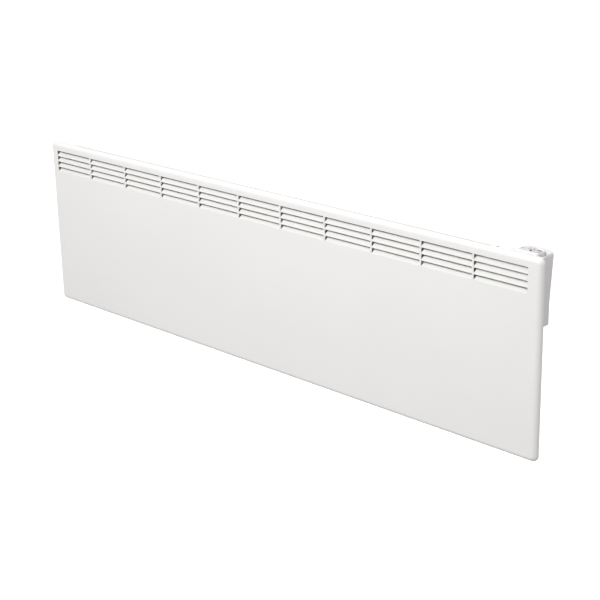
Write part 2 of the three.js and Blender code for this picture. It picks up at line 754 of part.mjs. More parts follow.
// A rocker whose underside is a half drum about its pivot, set with its rear end pressed down.
function switchRocker() {
  const half = rockerLength / 2;
  const outline = [];
  const drumSteps = 8;
  for (let i = 0; i <= drumSteps; i += 1) {
    const angle = Math.PI + (i / drumSteps) * Math.PI;
    outline.push([half * 0.62 * Math.cos(angle), 3.4 * Math.sin(angle)]);
  }
  outline.push([half, 0.2], [half, 2.4], [0, 3.2], [-half, 2.4], [-half, 0.2]);
  const turn = new THREE.Matrix4().makeRotationX(THREE.MathUtils.degToRad(-rockerTilt));
  const basis = new THREE.Matrix4().makeBasis(Y, Z, X);
  const g = extruded(outline, rockerWidth).applyMatrix4(basis).translate(-rockerWidth / 2, 0, 0);
  return solid(g.applyMatrix4(turn).translate(rockerX, dialY, rockerPivotZ));
}

// The switch's body: an open cup in the cover's window, whose floor clears the rocker's drum.
function switchBody() {
  const foot = rockerPivotZ - 7.5;
  const floor = 2.4;
  const cup = box(...rockerWindow(runningGap + switchWall), foot, coverTop - 0.2);
  const inside = box(...rockerWindow(runningGap), foot + floor, coverTop + 2);
  const pins = [-4, 0, 4].map((dy) => (
    box(rockerX - 0.4, rockerX + 0.4, dialY + dy - 1.2, dialY + dy + 1.2, foot - 6, foot + 1)
  ));
  return joined([cut(cup, [inside]), ...pins]);
}

function lampLens() {
  const profile = [[0, 0], [lampRadius, 0], [lampRadius, 5], [lampRadius * 0.7, 5.7], [0, 6]];
  return turned(profile, Z, [lampX, dialY, coverTop - 5], 12);
}

// The thermostat: a potted block under the control, with spade terminals.
function thermostatBody() {
  const foot = thermostatTop - thermostatLength;
  const back = housingBack(foot) - housingWall - 1.5;
  const block = box(dialX - 16, dialX + 9, coverY0 + 1, back, foot, thermostatTop);
  const spades = [-12, -5, 2].map((dx) => (
    box(dialX + dx, dialX + dx + 5, coverY0 + 6, coverY0 + 6.8, foot - 7, foot + 1)
  ));
  return joined([block, ...spades]);
}

function controlBoard() {
  const z0 = blockFoot + 20;
  const board = box(housingX0 + 52, housingX1 - 12, housingFront + 3, housingFront + 4.6, z0, z0 + 24);
  const relay = box(housingX1 - 36, housingX1 - 20, housingFront + 4.4, housingFront + 13, z0 + 4, z0 + 20);
  const coil = cylinder(5, 9, Y, [housingX0 + 66, housingFront + 4.4, z0 + 11], 14);
  return joined([board, relay, coil]);
}

const blockX0 = housingX0 + 16;
const blockFront = housingFront + 0.6;
const blockFoot = housingFoot + 20;

function terminalBlock() {
  const blockX1 = blockX0 + 2 * (wellOffset + wellPitch);
  const base = box(blockX0, blockX1, blockFront, blockFront + 10, blockFoot, blockFoot + 16);
  const wells = [0, 1, 2].map((i) => (
    cylinder(2, 6, Y, [blockX0 + wellOffset + i * wellPitch, blockFront + 6, blockFoot + 8], 10)
  ));
  return cut(base, wells);
}

function cableGland() {
  const profile = [
    [3.2, 0], [glandRadius + 2.4, 0], [glandRadius + 2.4, 6], [glandRadius - 0.2, 6],
    [glandRadius - 0.2, 15], [3.2, 15], [3.2, 0],
  ];
  return turned(profile, Z, [glandX, glandY, housingFoot - 6 - gap], 16);
}

function glandNut() {
  const hexagon = Array.from({ length: 6 }, (_, i) => {
    const angle = (i / 6) * Math.PI * 2;
    return [glandNutRadius * Math.cos(angle), glandNutRadius * Math.sin(angle)];
  });
  const z = housingFoot + housingWall + gap;
  const nut = solid(extruded(hexagon, 4).translate(glandX, glandY, z));
  return nut.subtract(cylinder(glandRadius + gap, 6, Z, [glandX, glandY, z - 1], 16));
}

// ---------------------------------------------------------------- leads

// A round lead on a smooth curve through its points. It has as many rings between two near points as
// between two far ones, so that a short bend stays round however long the straight runs are.
function lead(points) {
  const curve = new THREE.CatmullRomCurve3(points.map((p) => new THREE.Vector3(...p)), false, "centripetal");
  curve.getPointAt = curve.getPoint;
  curve.getTangentAt = curve.getTangent;
  const section = new THREE.Shape();
  for (let i = 0; i < leadSides; i += 1) {
    const angle = (i / leadSides) * Math.PI * 2;
    section[i ? "lineTo" : "moveTo"](leadRadius * Math.cos(angle), leadRadius * Math.sin(angle));
  }
  section.closePath();
  const steps = leadRings * (points.length - 1);
  return solid(new THREE.ExtrudeGeometry(section, { steps, bevelEnabled: false, extrudePath: curve }));
}

function leadGrommet() {
  const inner = grommetRadius - 1.2;
  const profile = [
    [inner, -3], [grommetRadius + 2, -3], [grommetRadius + 2, -rearSheet - gap],
    [grommetRadius, -rearSheet - gap], [grommetRadius, gap], [grommetRadius + 2, gap],
    [grommetRadius + 2, 2.2], [inner, 2.2], [inner, -3],
  ];
  return turned(profile, X, [panX1, grommetY, grommetZ], 12);
}

// The leads leave the grommet side by side and rise behind the flange plate to the housing's foot.
const leadDepth = housingFront + 3.6;
const liveX = doorMiddle - leadPitch;
const earthLeadX = doorMiddle + leadPitch;

function riser(x, wellIndex) {
  return [
    [x, leadDepth, housingFoot - leadLift],
    [x, leadDepth, housingFoot + housingWall],
    [blockX0 + wellOffset + wellIndex * wellPitch, blockFront + wellDepth, blockFoot - 5],
    [blockX0 + wellOffset + wellIndex * wellPitch, blockFront + wellDepth, blockFoot - gap],
  ];
}

function liveLead() {
  const tip = rodX1 + terminalLength + gap;
  const bend = (tip + panX1) / 2;
  const side = grommetY + leadSpread;
  return lead([
    [tip, ductMiddle, elementHeight],
    [(tip + bend) / 2, ductMiddle, elementHeight],
    [bend, ductMiddle, elementHeight + 8],
    [bend, side, grommetZ - 20],
    [panX1 - 10, side, grommetZ],
    [panX1 - 3, side, grommetZ],
    [panX1 + 7, side, grommetZ],
    [panX1 + 18, side - 3, grommetZ + 12],
    [liveX, leadDepth + 4, housingFoot - 2 * leadLift],
    ...riser(liveX, 0),
  ]);
}

function neutralLead() {
  const tip = rodX0 - terminalLength - gap;
  const bend = (tip + panX0) / 2;
  const side = grommetY - leadSpread;
  const run = grommetZ - 18;
  return lead([
    [tip, ductMiddle, elementHeight],
    [(tip + bend) / 2, ductMiddle, elementHeight],
    [bend, ductMiddle, elementHeight + 9],
    [bend + 2, panDepth - 10, run - 20],
    [tip + 12, panDepth - 9, run],
    [(panX0 + panX1) / 2, panDepth - 9, run],
    [panX1 - 60, panDepth - 9, run],
    [panX1 - 26, side + 2, grommetZ - 3],
    [panX1 - 10, side, grommetZ],
    [panX1 - 3, side, grommetZ],
    [panX1 + 7, side, grommetZ],
    [panX1 + 20, side - 3, grommetZ + 8],
    [doorMiddle, leadDepth + 1, housingFoot - 2 * leadLift],
    ...riser(doorMiddle, 1),
  ]);
}

function earthLead() {
  return lead([
    [earthX, plateBack + screwHeadRise + 2.2, earthZ + screwHead],
    [earthX, plateBack + screwHeadRise + 2.2, earthZ + screwHead + 6],
    ...riser(earthLeadX, 2),
  ]);
}

// ---------------------------------------------------------------- hang lugs and pins
function hangLug(x) {
  const back = panDepth + gap;
  const half = armInner - lugGap;
  const base = box(x - half, x + half, back, back + armSheet, pinHeight - 12, pinHeight + 12);
  const ear = new THREE.Shape();
  ear.moveTo(back, pinHeight - 9);
  ear.lineTo(pinY, pinHeight - lugEnd);
  ear.absarc(pinY, pinHeight, lugEnd, -Math.PI / 2, Math.PI / 2, false);
  ear.lineTo(back, pinHeight + 9);
  ear.closePath();
  const ears = [x - half, x + half - armSheet].map((x0) => alongX(ear, x0, x0 + armSheet));
  const hole = cylinder(pinRadius + gap, armWidth, X, [x - armWidth / 2, pinY, pinHeight], 16);
  return cut(joined([base, ...ears]), [hole]);
}

function hangPin(x) {
  const half = armWidth / 2 + 3;
  const profile = [
    [0, -half - 1.5], [pinRadius + 1.3, -half - 1.5], [pinRadius + 1.3, -half], [pinRadius, -half],
    [pinRadius, half], [pinRadius + 1.3, half], [pinRadius + 1.3, half + 1.5], [0, half + 1.5],
  ];
  return turned(profile, X, [x, pinY, pinHeight], 14);
}

// ---------------------------------------------------------------- wall bracket, in the row frame
const rowZ = (heightAboveFoot) => heightAboveFoot - railHeight;

// The rail: a plate on the wall with folded edges, and end tabs riveted to the arms.
function bracketRail() {
  const end = armSpacing / 2 - armWidth / 2 - gap;
  const half = railWidth / 2;
  const bodies = [
    box(-end, end, -armSheet, 0, -half, half),
    box(-end, end, -9, -armSheet / 2, half - armSheet, half),
    box(-end, end, -9, -armSheet / 2, -half, armSheet - half),
    box(-end, armSheet - end, -tabDepth, -armSheet / 2, 4 - half, half - 4),
    box(end - armSheet, end, -tabDepth, -armSheet / 2, 4 - half, half - 4),
  ];
  const slots = [-180, -60, 60, 180].map((x) => {
    const long = roundedRectangle(x - 9, x + 9, -2.75, 2.75, 2.7, 2);
    return alongY(long, -armSheet - 1, 1);
  });
  const holes = [-1, 1].flatMap((side) => [-8, 8].map((z) => (
    cylinder(rivetRadius + gap, 6, X, [side * (end - armSheet / 2) - 3, rivetY, z], 12)
  )));
  return cut(joined(bodies), [...slots, ...holes]);
}

// An arm: a channel open to the front, hooked near its foot for the hang pin.
function bracketArm(x) {
  const [foot, head] = [rowZ(armFoot), rowZ(armHead)];
  const pinZ = rowZ(pinHeight);
  const seat = pinRadius + runningGap;
  const cheek = [
    [0, foot], [-hookDepth, foot], [-hookDepth, pinZ + 9], [-armDepth, pinZ + 26],
    [-armDepth, head - 30], [-12, head], [0, head],
  ].reverse();
  const web = box(x - armWidth / 2, x + armWidth / 2, -armSheet, 0, foot, head);
  const cheeks = [x - armWidth / 2, x + armInner].map((x0) => alongX(cheek, x0, x0 + armSheet));
  const span = [x - armWidth / 2 - 1, x + armWidth / 2 + 1];
  const notch = [
    cylinder(seat, armWidth + 2, X, [span[0], -pinFromWall, pinZ], 16),
    box(...span, -pinFromWall - seat, -pinFromWall + seat, pinZ, pinZ + 20),
    box(...span, -armDepth - 2, -pinFromWall + seat - 0.5, pinZ + 9, pinZ + 20),
  ];
  const screwSlots = [foot + 22, head - 60].map((z) => (
    alongY(roundedRectangle(x - 2.75, x + 2.75, z - 8, z + 8, 2.7, 2), -armSheet - 1, 1)
  ));
  const rivetHoles = [-8, 8].map((z) => (
    cylinder(rivetRadius + gap, armWidth + 2, X, [span[0], rivetY, z], 12)
  ));
  return cut(joined([web, ...cheeks]), [...notch, ...screwSlots, ...rivetHoles, flushRivet(x, gap)]);
}

const latchRivetZ = rowZ(latchHeight) - 16;

// A leaf spring on the arm's web whose barbed tongue reaches through a slot in the rear casing.
function latchSpring(x) {
  const zTongue = rowZ(latchHeight);
  const back = -armSheet - gap;
  const tip = -(wallDistance - panDepth) - latchReach;
  const outline = [
    [back, zTongue - 26], [back, zTongue], [tip + 3, zTongue], [tip + 1.5, zTongue + 1.4], [tip, zTongue - 1],
    [tip, zTongue - 1.8], [tip + 1.8, zTongue + 0.2], [tip + 3.2, zTongue - latchSheet],
    [back - latchSheet, zTongue - latchSheet], [back - latchSheet, zTongue - 26],
  ];
  const hole = cylinder(rivetRadius + gap, 6, Y, [x, -5, latchRivetZ], 12);
  return cut(alongX(outline, x - latchWidth / 2, x + latchWidth / 2), [hole]);
}

// A rivet whose tail is hammered flush into a countersunk hole in the arm's web.
function flushRivet(x, clearance) {
  const [start, head] = [-0.2 + clearance, -armSheet - latchSheet - 2 * gap];
  const length = start - head;
  const radius = rivetRadius + clearance;
  const profile = [
    [0, 0], [radius + 0.9, 0], [radius, 0.9], [radius, length], [rivetRadius + 1.5, length],
    [rivetRadius + 0.6, length + 1.2], [0, length + 1.4],
  ];
  return turned(profile, Y.clone().negate(), [x, start, latchRivetZ], 10);
}

// A rivet with a dome on each side of what it holds, along an axis.
function rivet(axis, place, hold) {
  const profile = [
    [0, -1.4], [rivetRadius + 0.6, -1.2], [rivetRadius + 1.5, 0], [rivetRadius, 0], [rivetRadius, hold],
    [rivetRadius + 1.5, hold], [rivetRadius + 0.6, hold + 1.2], [0, hold + 1.4],
  ];
  return turned(profile, axis, place, 10);
}

// ---------------------------------------------------------------- the object
piece(heater, "front_panel", frontPanel(), whitePaint);
piece(heater, "rear_casing", rearCasing(), galvanised);
piece(heater, "heat_shield", heatShield(), galvanised);
piece(heater, "air_guide", airGuide(), galvanised);

piece(heater, "element_profile", elementProfile(), aluminium);
piece(heater, "heating_rod", heatingRod(), steelRod);
piece(heater, "ceramic_bead_left", ceramicBead(-1), ceramic);
piece(heater, "ceramic_bead_right", ceramicBead(1), ceramic);
piece(heater, "element_hanger_left", endHanger(elementX0 - 8), galvanised);
piece(heater, "element_hanger_middle", middleHanger((elementX0 + elementX1) / 2), galvanised);
piece(heater, "element_hanger_right", endHanger(elementX1 + 6), galvanised);
piece(heater, "overheat_cutout", overheatCutout(), darkPlastic);

piece(heater, "thermostat_housing", thermostatHousing(), whitePlastic);
piece(heater, "control_cover", controlCover(), whitePlastic);
piece(heater, "dial", dial(), dialPlastic);
piece(heater, "dial_shaft", dialShaft(), zincScrew);
piece(heater, "switch_rocker", switchRocker(), dialPlastic);
piece(heater, "switch_body", switchBody(), darkPlastic);
piece(heater, "indicator_lens", lampLens(), lampRed);
piece(heater, "thermostat_body", thermostatBody(), darkPlastic);
piece(heater, "control_board", controlBoard(), boardGreen);
piece(heater, "terminal_block", terminalBlock(), whitePlastic);
piece(heater, "cable_gland", cableGland(), blackRubber);
piece(heater, "gland_nut", glandNut(), blackRubber);

piece(heater, "lead_grommet", leadGrommet(), blackRubber);
piece(heater, "live_lead", liveLead(), wireBrown);
piece(heater, "neutral_lead", neutralLead(), wireBlue);
piece(heater, "earth_lead", earthLead(), wireGreen);
piece(heater, "earth_screw", panHeadScrew(earthX, earthZ, plateBack + gap, 6), brass);

casingScrewPlaces().forEach(([x, z], i) => {
  piece(heater, `casing_screw_${i + 1}`, panHeadScrew(x, z, plateBack + gap, 7), zincScrew);
});
housingScrewPlaces().forEach(([x, z], i) => {
  const seat = housingBack(z) - 5 + gap;
  piece(heater, `housing_screw_${i + 1}`, panHeadScrew(x, z, seat, seat - plateFront + 3), zincScrew);
});

const sides = ["left", "right"];
armX.forEach((x, i) => {
  piece(heater, `hang_lug_${sides[i]}`, hangLug(x), galvanised);
  piece(heater, `hang_pin_${sides[i]}`, hangPin(x), zincScrew);
});

piece(bracket, "bracket_rail", bracketRail(), galvanised);
armX.forEach((x, i) => {
  piece(bracket, `bracket_arm_${sides[i]}`, bracketArm(x), galvanised);
  piece(bracket, `latch_spring_${sides[i]}`, latchSpring(x), springSteel);
  piece(bracket, `latch_rivet_${sides[i]}`, flushRivet(x, 0), zincScrew);
  [-8, 8].forEach((z, j) => {
    const span = 2 * armSheet + 3 * gap;
    const inner = x < 0 ? x + armInner - gap : x - armInner + gap - span;
    const body = rivet(X, [inner, rivetY, z], span);
    piece(bracket, `rail_rivet_${sides[i]}_${j + 1}`, body, zincScrew);
  });
});

const root = new THREE.Group();
root.add(heater, bracket);
export default root;
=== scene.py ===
# %% [markdown]
# # A wall-hung electric panel heater
#
# The imported CAD model is the frame: it says where every piece is, what it rides on and how far it moves.
# This script adds the looks. Each piece that shows gets a finer surface or a better finish, in the same
# frame and in metres: +X to the right, +Y into the wall and +Z up, with the origin on the wall behind the
# heater. The box round the CAD model is kept, and the floor is set below it.

# %% Load the imported model
import json
import math

import bmesh
import bpy
import numpy as np
from mathutils import Matrix, Quaternion, Vector


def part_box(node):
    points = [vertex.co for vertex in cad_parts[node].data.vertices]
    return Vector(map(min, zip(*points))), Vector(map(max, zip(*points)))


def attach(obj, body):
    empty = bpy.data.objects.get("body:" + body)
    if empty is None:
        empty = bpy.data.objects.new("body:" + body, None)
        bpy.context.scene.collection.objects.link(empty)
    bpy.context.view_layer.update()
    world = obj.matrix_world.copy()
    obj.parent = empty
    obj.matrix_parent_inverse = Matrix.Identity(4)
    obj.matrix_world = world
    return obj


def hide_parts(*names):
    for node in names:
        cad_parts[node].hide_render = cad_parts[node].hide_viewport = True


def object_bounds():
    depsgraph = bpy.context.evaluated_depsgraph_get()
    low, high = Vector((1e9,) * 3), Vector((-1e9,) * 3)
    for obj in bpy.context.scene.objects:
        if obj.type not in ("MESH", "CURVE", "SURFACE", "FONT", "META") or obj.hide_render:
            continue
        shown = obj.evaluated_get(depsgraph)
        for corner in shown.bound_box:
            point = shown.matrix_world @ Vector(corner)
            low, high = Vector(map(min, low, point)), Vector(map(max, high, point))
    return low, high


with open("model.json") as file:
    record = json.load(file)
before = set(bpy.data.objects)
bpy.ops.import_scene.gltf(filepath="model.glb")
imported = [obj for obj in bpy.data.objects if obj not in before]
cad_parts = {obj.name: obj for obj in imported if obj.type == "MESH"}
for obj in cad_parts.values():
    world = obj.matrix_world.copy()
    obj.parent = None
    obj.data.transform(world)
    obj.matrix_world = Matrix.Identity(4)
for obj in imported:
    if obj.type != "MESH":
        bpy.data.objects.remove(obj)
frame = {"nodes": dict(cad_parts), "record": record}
cad_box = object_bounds()
MM = 0.001

# %% [markdown]
# ## Camera
#
# A long, flat object is best seen through a long lens from three or four metres away, because a short lens
# would make the near end look much taller than the far end. The camera stands to the right, above the
# heater's top edge. Its direction is written as an azimuth and an elevation, and the small roll is what a
# hand-levelled tripod leaves. The three axes worked out from those angles are the columns of its matrix.

# %% Place the camera
AZIMUTH = math.radians(-44.5)
ELEVATION = math.radians(19.41)
ROLL = math.radians(-1.22)
CAMERA_PLACE = Vector((2.1648, -2.1724, 0.9863))
FOCAL_LENGTH = 89.06  # mm
SENSOR_WIDTH = 36  # mm
FAR_CLIP = 100

level_right = Vector((math.cos(AZIMUTH), -math.sin(AZIMUTH), 0))
forward = Vector((
    math.sin(AZIMUTH) * math.cos(ELEVATION),
    math.cos(AZIMUTH) * math.cos(ELEVATION),
    -math.sin(ELEVATION),
))
level_up = level_right.cross(forward)
right_axis = math.cos(ROLL) * level_right + math.sin(ROLL) * level_up
up_axis = math.cos(ROLL) * level_up - math.sin(ROLL) * level_right

camera = bpy.data.objects.new("camera", bpy.data.cameras.new("camera"))
bpy.context.scene.collection.objects.link(camera)
camera.data.sensor_width = SENSOR_WIDTH
camera.data.lens = FOCAL_LENGTH
camera.data.clip_end = FAR_CLIP
facing = Matrix((right_axis, up_axis, -forward)).transposed().to_4x4()
camera.matrix_world = Matrix.Translation(CAMERA_PLACE) @ facing
bpy.context.scene.camera = camera
print("camera at", [round(v, 3) for v in CAMERA_PLACE], round(CAMERA_PLACE.length, 3), "m from the origin")

# %% [markdown]
# ## Colours and nodes
#
# Colours are written as the hex values that a paint chart or a picture editor shows. Those are sRGB values,
# and a shader adds up light, so each one is turned to linear first. One small function adds a shader node:
# its settings go in by name, and each input takes either a plain value or another node's output. Patterns
# read Object coordinates, which are metres here, so a pattern's scale is how many of its features go to one
# metre.

# %% Helpers for materials
def linear(hex_colour):
    """A hex colour as linear RGBA: c / 12.92 near black, ((c + 0.055) / 1.055) to the power 2.4 above."""
    srgb = np.array([int(hex_colour[i:i + 2], 16) / 255 for i in (1, 3, 5)])
    rgb = np.where(srgb <= 0.04045, srgb / 12.92, ((srgb + 0.055) / 1.055) ** 2.4)
    return (*rgb.tolist(), 1.0)


def add(tree, kind, inputs=None, **settings):
    """Adds a shader node. Settings are its own options; inputs are values or other nodes' outputs."""
    node = tree.nodes.new("ShaderNode" + kind)
    for option, value in settings.items():
        setattr(node, option, value)
    for socket, value in (inputs or {}).items():
        if isinstance(value, bpy.types.NodeSocket):
            tree.links.new(value, node.inputs[socket])
        else:
            node.inputs[socket].default_value = value
    return node


def new_material(name, hex_colour, roughness, metallic=0.0, **sockets):
    """A material with one Principled shader, its even values set on the shader's own sockets."""
    material = bpy.data.materials.new(name)
    material.use_nodes = True
    tree = material.node_tree
    shader = tree.nodes["Principled BSDF"]
    values = {"Base Color": linear(hex_colour), "Roughness": roughness, "Metallic": metallic}
    values.update({socket.replace("_", " "): value for socket, value in sockets.items()})
    for socket, value in values.items():
        shader.inputs[socket].default_value = value
    material.diffuse_color = linear(hex_colour)
    place = add(tree, "TexCoord").outputs["Object"]
    return material, tree, shader, place


def per_metre(size_mm):
    """A pattern's scale for features of that size: so many to the metre."""
    return 1000 / size_mm


def bump(tree, shader, height, depth_mm, strength=1.0):
    """Raises the surface by a height pattern of the given depth."""
    node = add(tree, "Bump", {"Height": height, "Distance": depth_mm * MM, "Strength": strength})
    tree.links.new(node.outputs["Normal"], shader.inputs["Normal"])


def spread(tree, value, low, high):
    """Stretches a pattern from 0..1 to low..high."""
    return add(tree, "MapRange", {"Value": value, "To Min": low, "To Max": high}).outputs["Result"]


def tint(tree, factor, hex_a, hex_b):
    """Mixes two colours by a pattern."""
    mix = add(tree, "Mix", data_type="RGBA")
    tree.links.new(factor, mix.inputs["Factor"])
    mix.inputs[6].default_value = linear(hex_a)
    mix.inputs[7].default_value = linear(hex_b)
    return mix.outputs[2]


# %% [markdown]
# ## Enamel on the front panel
#
# The panel is steel that is powder-coated and baked. The powder melts and levels, but not quite: it leaves
# an orange-peel surface, a swell of a few hundredths of a millimetre every two millimetres or so. The eye
# doesn't see the swell itself. It sees that reflections lose their edges. The base is an almost neutral
# white.

# %% White enamel
def white_enamel():
    """Powder coat, baked: semi-gloss, with orange peel every 2.5 mm and slow patches of gloss."""
    material, tree, shader, place = new_material("white_enamel", "#EDECEA", 0.42, IOR=1.5)
    peel = add(tree, "TexNoise", {"Vector": place, "Scale": per_metre(2.5), "Detail": 2.0}).outputs["Fac"]
    patches = add(tree, "TexNoise", {"Vector": place, "Scale": per_metre(180), "Detail": 1.0}).outputs["Fac"]
    tree.links.new(spread(tree, patches, 0.38, 0.47), shader.inputs["Roughness"])
    tree.links.new(tint(tree, patches, "#ECEBE9", "#EFEEEC"), shader.inputs["Base Color"])
    bump(tree, shader, peel, 0.03, 0.6)
    return material


# %% [markdown]
# ## Galvanised steel
#
# The rear casing and the bracket are made from hot-dip galvanised strip. As the zinc freezes on the steel
# it grows crystals, the spangles, 6 to 15 mm across. Each crystal lies at its own angle, so each is a
# slightly different grey. Voronoi cells are a good drawing of them: every cell gets one random value, which
# sets its grey and its roughness, and a noise pushes the borders out of line by up to 6 mm.

# %% Galvanised steel
def galvanised_steel():
    """Hot-dip galvanised strip: spangles 9 mm across, each with its own grey and gloss."""
    material, tree, shader, place = new_material("galvanised_steel", "#B4B7B8", 0.42, 0.9)
    wobble = add(tree, "TexNoise", {"Vector": place, "Scale": per_metre(7), "Detail": 3.0}).outputs["Color"]
    reach = (6 * MM, 6 * MM, 6 * MM)
    push = add(tree, "VectorMath", {0: wobble, 1: reach}, operation="MULTIPLY").outputs["Vector"]
    pushed = add(tree, "VectorMath", {0: place, 1: push}, operation="ADD").outputs["Vector"]
    cells = add(tree, "TexVoronoi", {"Vector": pushed, "Scale": per_metre(9)}).outputs["Color"]
    value = add(tree, "SeparateColor", {"Color": cells}).outputs["Red"]
    tree.links.new(tint(tree, value, "#9FA3A5", "#C3C6C7"), shader.inputs["Base Color"])
    tree.links.new(spread(tree, value, 0.36, 0.52), shader.inputs["Roughness"])
    grain = add(tree, "TexNoise", {"Vector": place, "Scale": per_metre(0.8), "Detail": 2.0}).outputs["Fac"]
    bump(tree, shader, grain, 0.01, 0.4)
    return material


# %% [markdown]
# ## Other metals
#
# A metal's look is mostly how its surface was made. Extruded aluminium carries fine die lines along its
# length. Zinc plate is bright with a faint bluish or yellow passivation. Rolled spring strip has lines
# across it, and a heated sheath is oxidised in clouds. One function draws them all: a noise stretched along
# one axis for the lines, and a slow cloud between a light and a dark colour.

# %% Metals with drawn or rolled lines
def drawn_metal(name, light, dark, roughness, spacing_mm, stretch, depth_mm=0.01):
    """A metal with lines: a noise squeezed across the lines and stretched along them."""
    material, tree, shader, place = new_material(name, light, roughness, 1.0)
    squeezed = add(tree, "Mapping", {"Vector": place, "Scale": stretch}).outputs["Vector"]
    scale = per_metre(spacing_mm)
    lines = add(tree, "TexNoise", {"Vector": squeezed, "Scale": scale, "Detail": 4.0}).outputs["Fac"]
    clouds = add(tree, "TexNoise", {"Vector": place, "Scale": per_metre(12), "Detail": 3.0}).outputs["Fac"]
    tree.links.new(tint(tree, clouds, dark, light), shader.inputs["Base Color"])
    tree.links.new(spread(tree, lines, roughness - 0.08, roughness + 0.08), shader.inputs["Roughness"])
    bump(tree, shader, lines, depth_mm, 0.5)
    return material


# %% [markdown]
# ## Mouldings
#
# The housing, dial and rocker are injection-moulded ABS. The mould is spark-eroded, which leaves a fine,
# even texture of about a third of a millimetre, so that fingerprints don't show. The black pieces inside
# are phenolic and nylon, with the same kind of surface.

# %% Moulded plastics
def moulded(name, hex_colour, roughness, grain_mm=0.35, depth_mm=0.012, **sockets):
    """Injection-moulded plastic: an even spark-eroded grain, and a slow change of gloss."""
    material, tree, shader, place = new_material(name, hex_colour, roughness, IOR=1.53, **sockets)
    scale = per_metre(grain_mm)
    grain = add(tree, "TexNoise", {"Vector": place, "Scale": scale, "Detail": 1.0}).outputs["Fac"]
    slow = add(tree, "TexNoise", {"Vector": place, "Scale": per_metre(15), "Detail": 2.0}).outputs["Fac"]
    tree.links.new(spread(tree, slow, roughness - 0.04, roughness + 0.05), shader.inputs["Roughness"])
    bump(tree, shader, grain, depth_mm, 0.5)
    return material


# %% [markdown]
# ## One finish for each kind of material
#
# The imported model's record gives every piece a material slot, such as brass or white_abs. Each slot gets one
# material here, and the CAD pieces wear them at once, so even a piece that gets no new surface looks made of
# something. The aluminium's die lines run along X, the way the profile leaves its die, and the spring strip's
# lines run up and down it.

# %% Make every finish once
finishes = {
    "white_enamel": white_enamel(),
    "galvanised_steel": galvanised_steel(),
    "extruded_aluminium": drawn_metal("extruded_aluminium", "#C9CBCD", "#B7B9BB", 0.34, 0.8, (0.02, 1, 1)),
    "element_sheath": drawn_metal("oxidised_sheath", "#6A625A", "#4A443F", 0.5, 1.5, (0.1, 1, 1)),
    "zinc_plated_steel": drawn_metal("zinc_plated_steel", "#CBCED0", "#BFC0BA", 0.3, 0.6, (1, 1, 1)),
    "spring_steel": drawn_metal("rolled_spring_steel", "#8E9194", "#7C7F82", 0.32, 0.5, (1, 0.05, 0.05)),
    "brass": drawn_metal("turned_brass", "#C6A665", "#B1904F", 0.3, 0.6, (1, 1, 1)),
    "white_abs": moulded("white_abs", "#E9E6E6", 0.4),
    "grey_white_abs": moulded("satin_abs", "#DDDCDC", 0.36),
    "black_phenolic": moulded("black_phenolic", "#242426", 0.5),
    "black_nylon": moulded("black_nylon", "#1E1E20", 0.45),
    "black_rubber": moulded("moulded_rubber", "#1A1A1A", 0.75, 0.6, 0.02),
    "steatite": moulded("steatite_ceramic", "#E6DFCF", 0.55, 0.5, 0.015),
    "lamp_lens": moulded("frosted_polycarbonate", "#D9D3CE", 0.25, 2.0, 0.002, Transmission_Weight=0.5),
    "circuit_board": moulded("solder_mask", "#1F5A38", 0.35, 1.2, 0.02),
    "brown_insulation": moulded("brown_pvc", "#5A3822", 0.45, 1.0, 0.01),
    "blue_insulation": moulded("blue_pvc", "#2C5C9E", 0.45, 1.0, 0.01),
    "green_insulation": moulded("green_pvc", "#6D9A34", 0.45, 1.0, 0.01),
}
slot_of = {part["node"]: part["material_slot"] for part in frame["record"]["subparts"]}
body_of = {node: body for body, nodes in frame["record"]["behaviour"]["bodies"].items() for node in nodes}
for node, thing in frame["nodes"].items():
    thing.data.materials.clear()
    thing.data.materials.append(finishes[slot_of[node]])
print("finishes:", len(finishes))

# %% [markdown]
# ## From arrays to meshes
#
# Every new surface here is worked out as whole arrays: a grid of points, and the four corners of each of
# its squares. Patches that meet along an edge are made apart, put in one mesh and welded, so each patch can
# be written as simply as it deserves. Modifiers then give the sheet its thickness and its edges their small
# rounding. Weighted normals come last: they let a large flat face keep its flat shading, and leave the rounded
# look to the narrow bevels round it. All are applied, so that each piece's mesh holds what is seen.

# %% Helpers for surfaces
def quads(rows, columns, closed=False):
    """The corner numbers of every square of a grid of points, row by row."""
    across = columns if closed else columns - 1
    row, column = np.meshgrid(np.arange(rows - 1), np.arange(across), indexing="ij")
    after = (column + 1) % columns
    here, above = row * columns, (row + 1) * columns
    return np.stack([here + column, above + column, above + after, here + after], -1).reshape(-1, 4)


def weld(name, patches, tolerance=1e-6):
    """One mesh from patches of (points, faces), with the points they share merged."""
    mesh = bpy.data.meshes.new(name)
    points = [np.asarray(places, float).reshape(-1, 3) for places, _ in patches]
    starts = np.cumsum([0, *map(len, points)])
    faces = [[int(i + start) for i in face] for (_, made), start in zip(patches, starts) for face in made]
    mesh.from_pydata(np.concatenate(points).tolist(), [], faces)
    work = bmesh.new()
    work.from_mesh(mesh)
    bmesh.ops.remove_doubles(work, verts=work.verts, dist=tolerance)
    bmesh.ops.dissolve_degenerate(work, edges=work.edges, dist=tolerance / 2)
    work.to_mesh(mesh)
    work.free()
    return mesh


def apply_modifiers(piece):
    """Swaps a piece's mesh for what its modifiers make of it."""
    bpy.context.view_layer.update()
    evaluated = piece.evaluated_get(bpy.context.evaluated_depsgraph_get())
    piece.data = bpy.data.meshes.new_from_object(evaluated)
    piece.modifiers.clear()


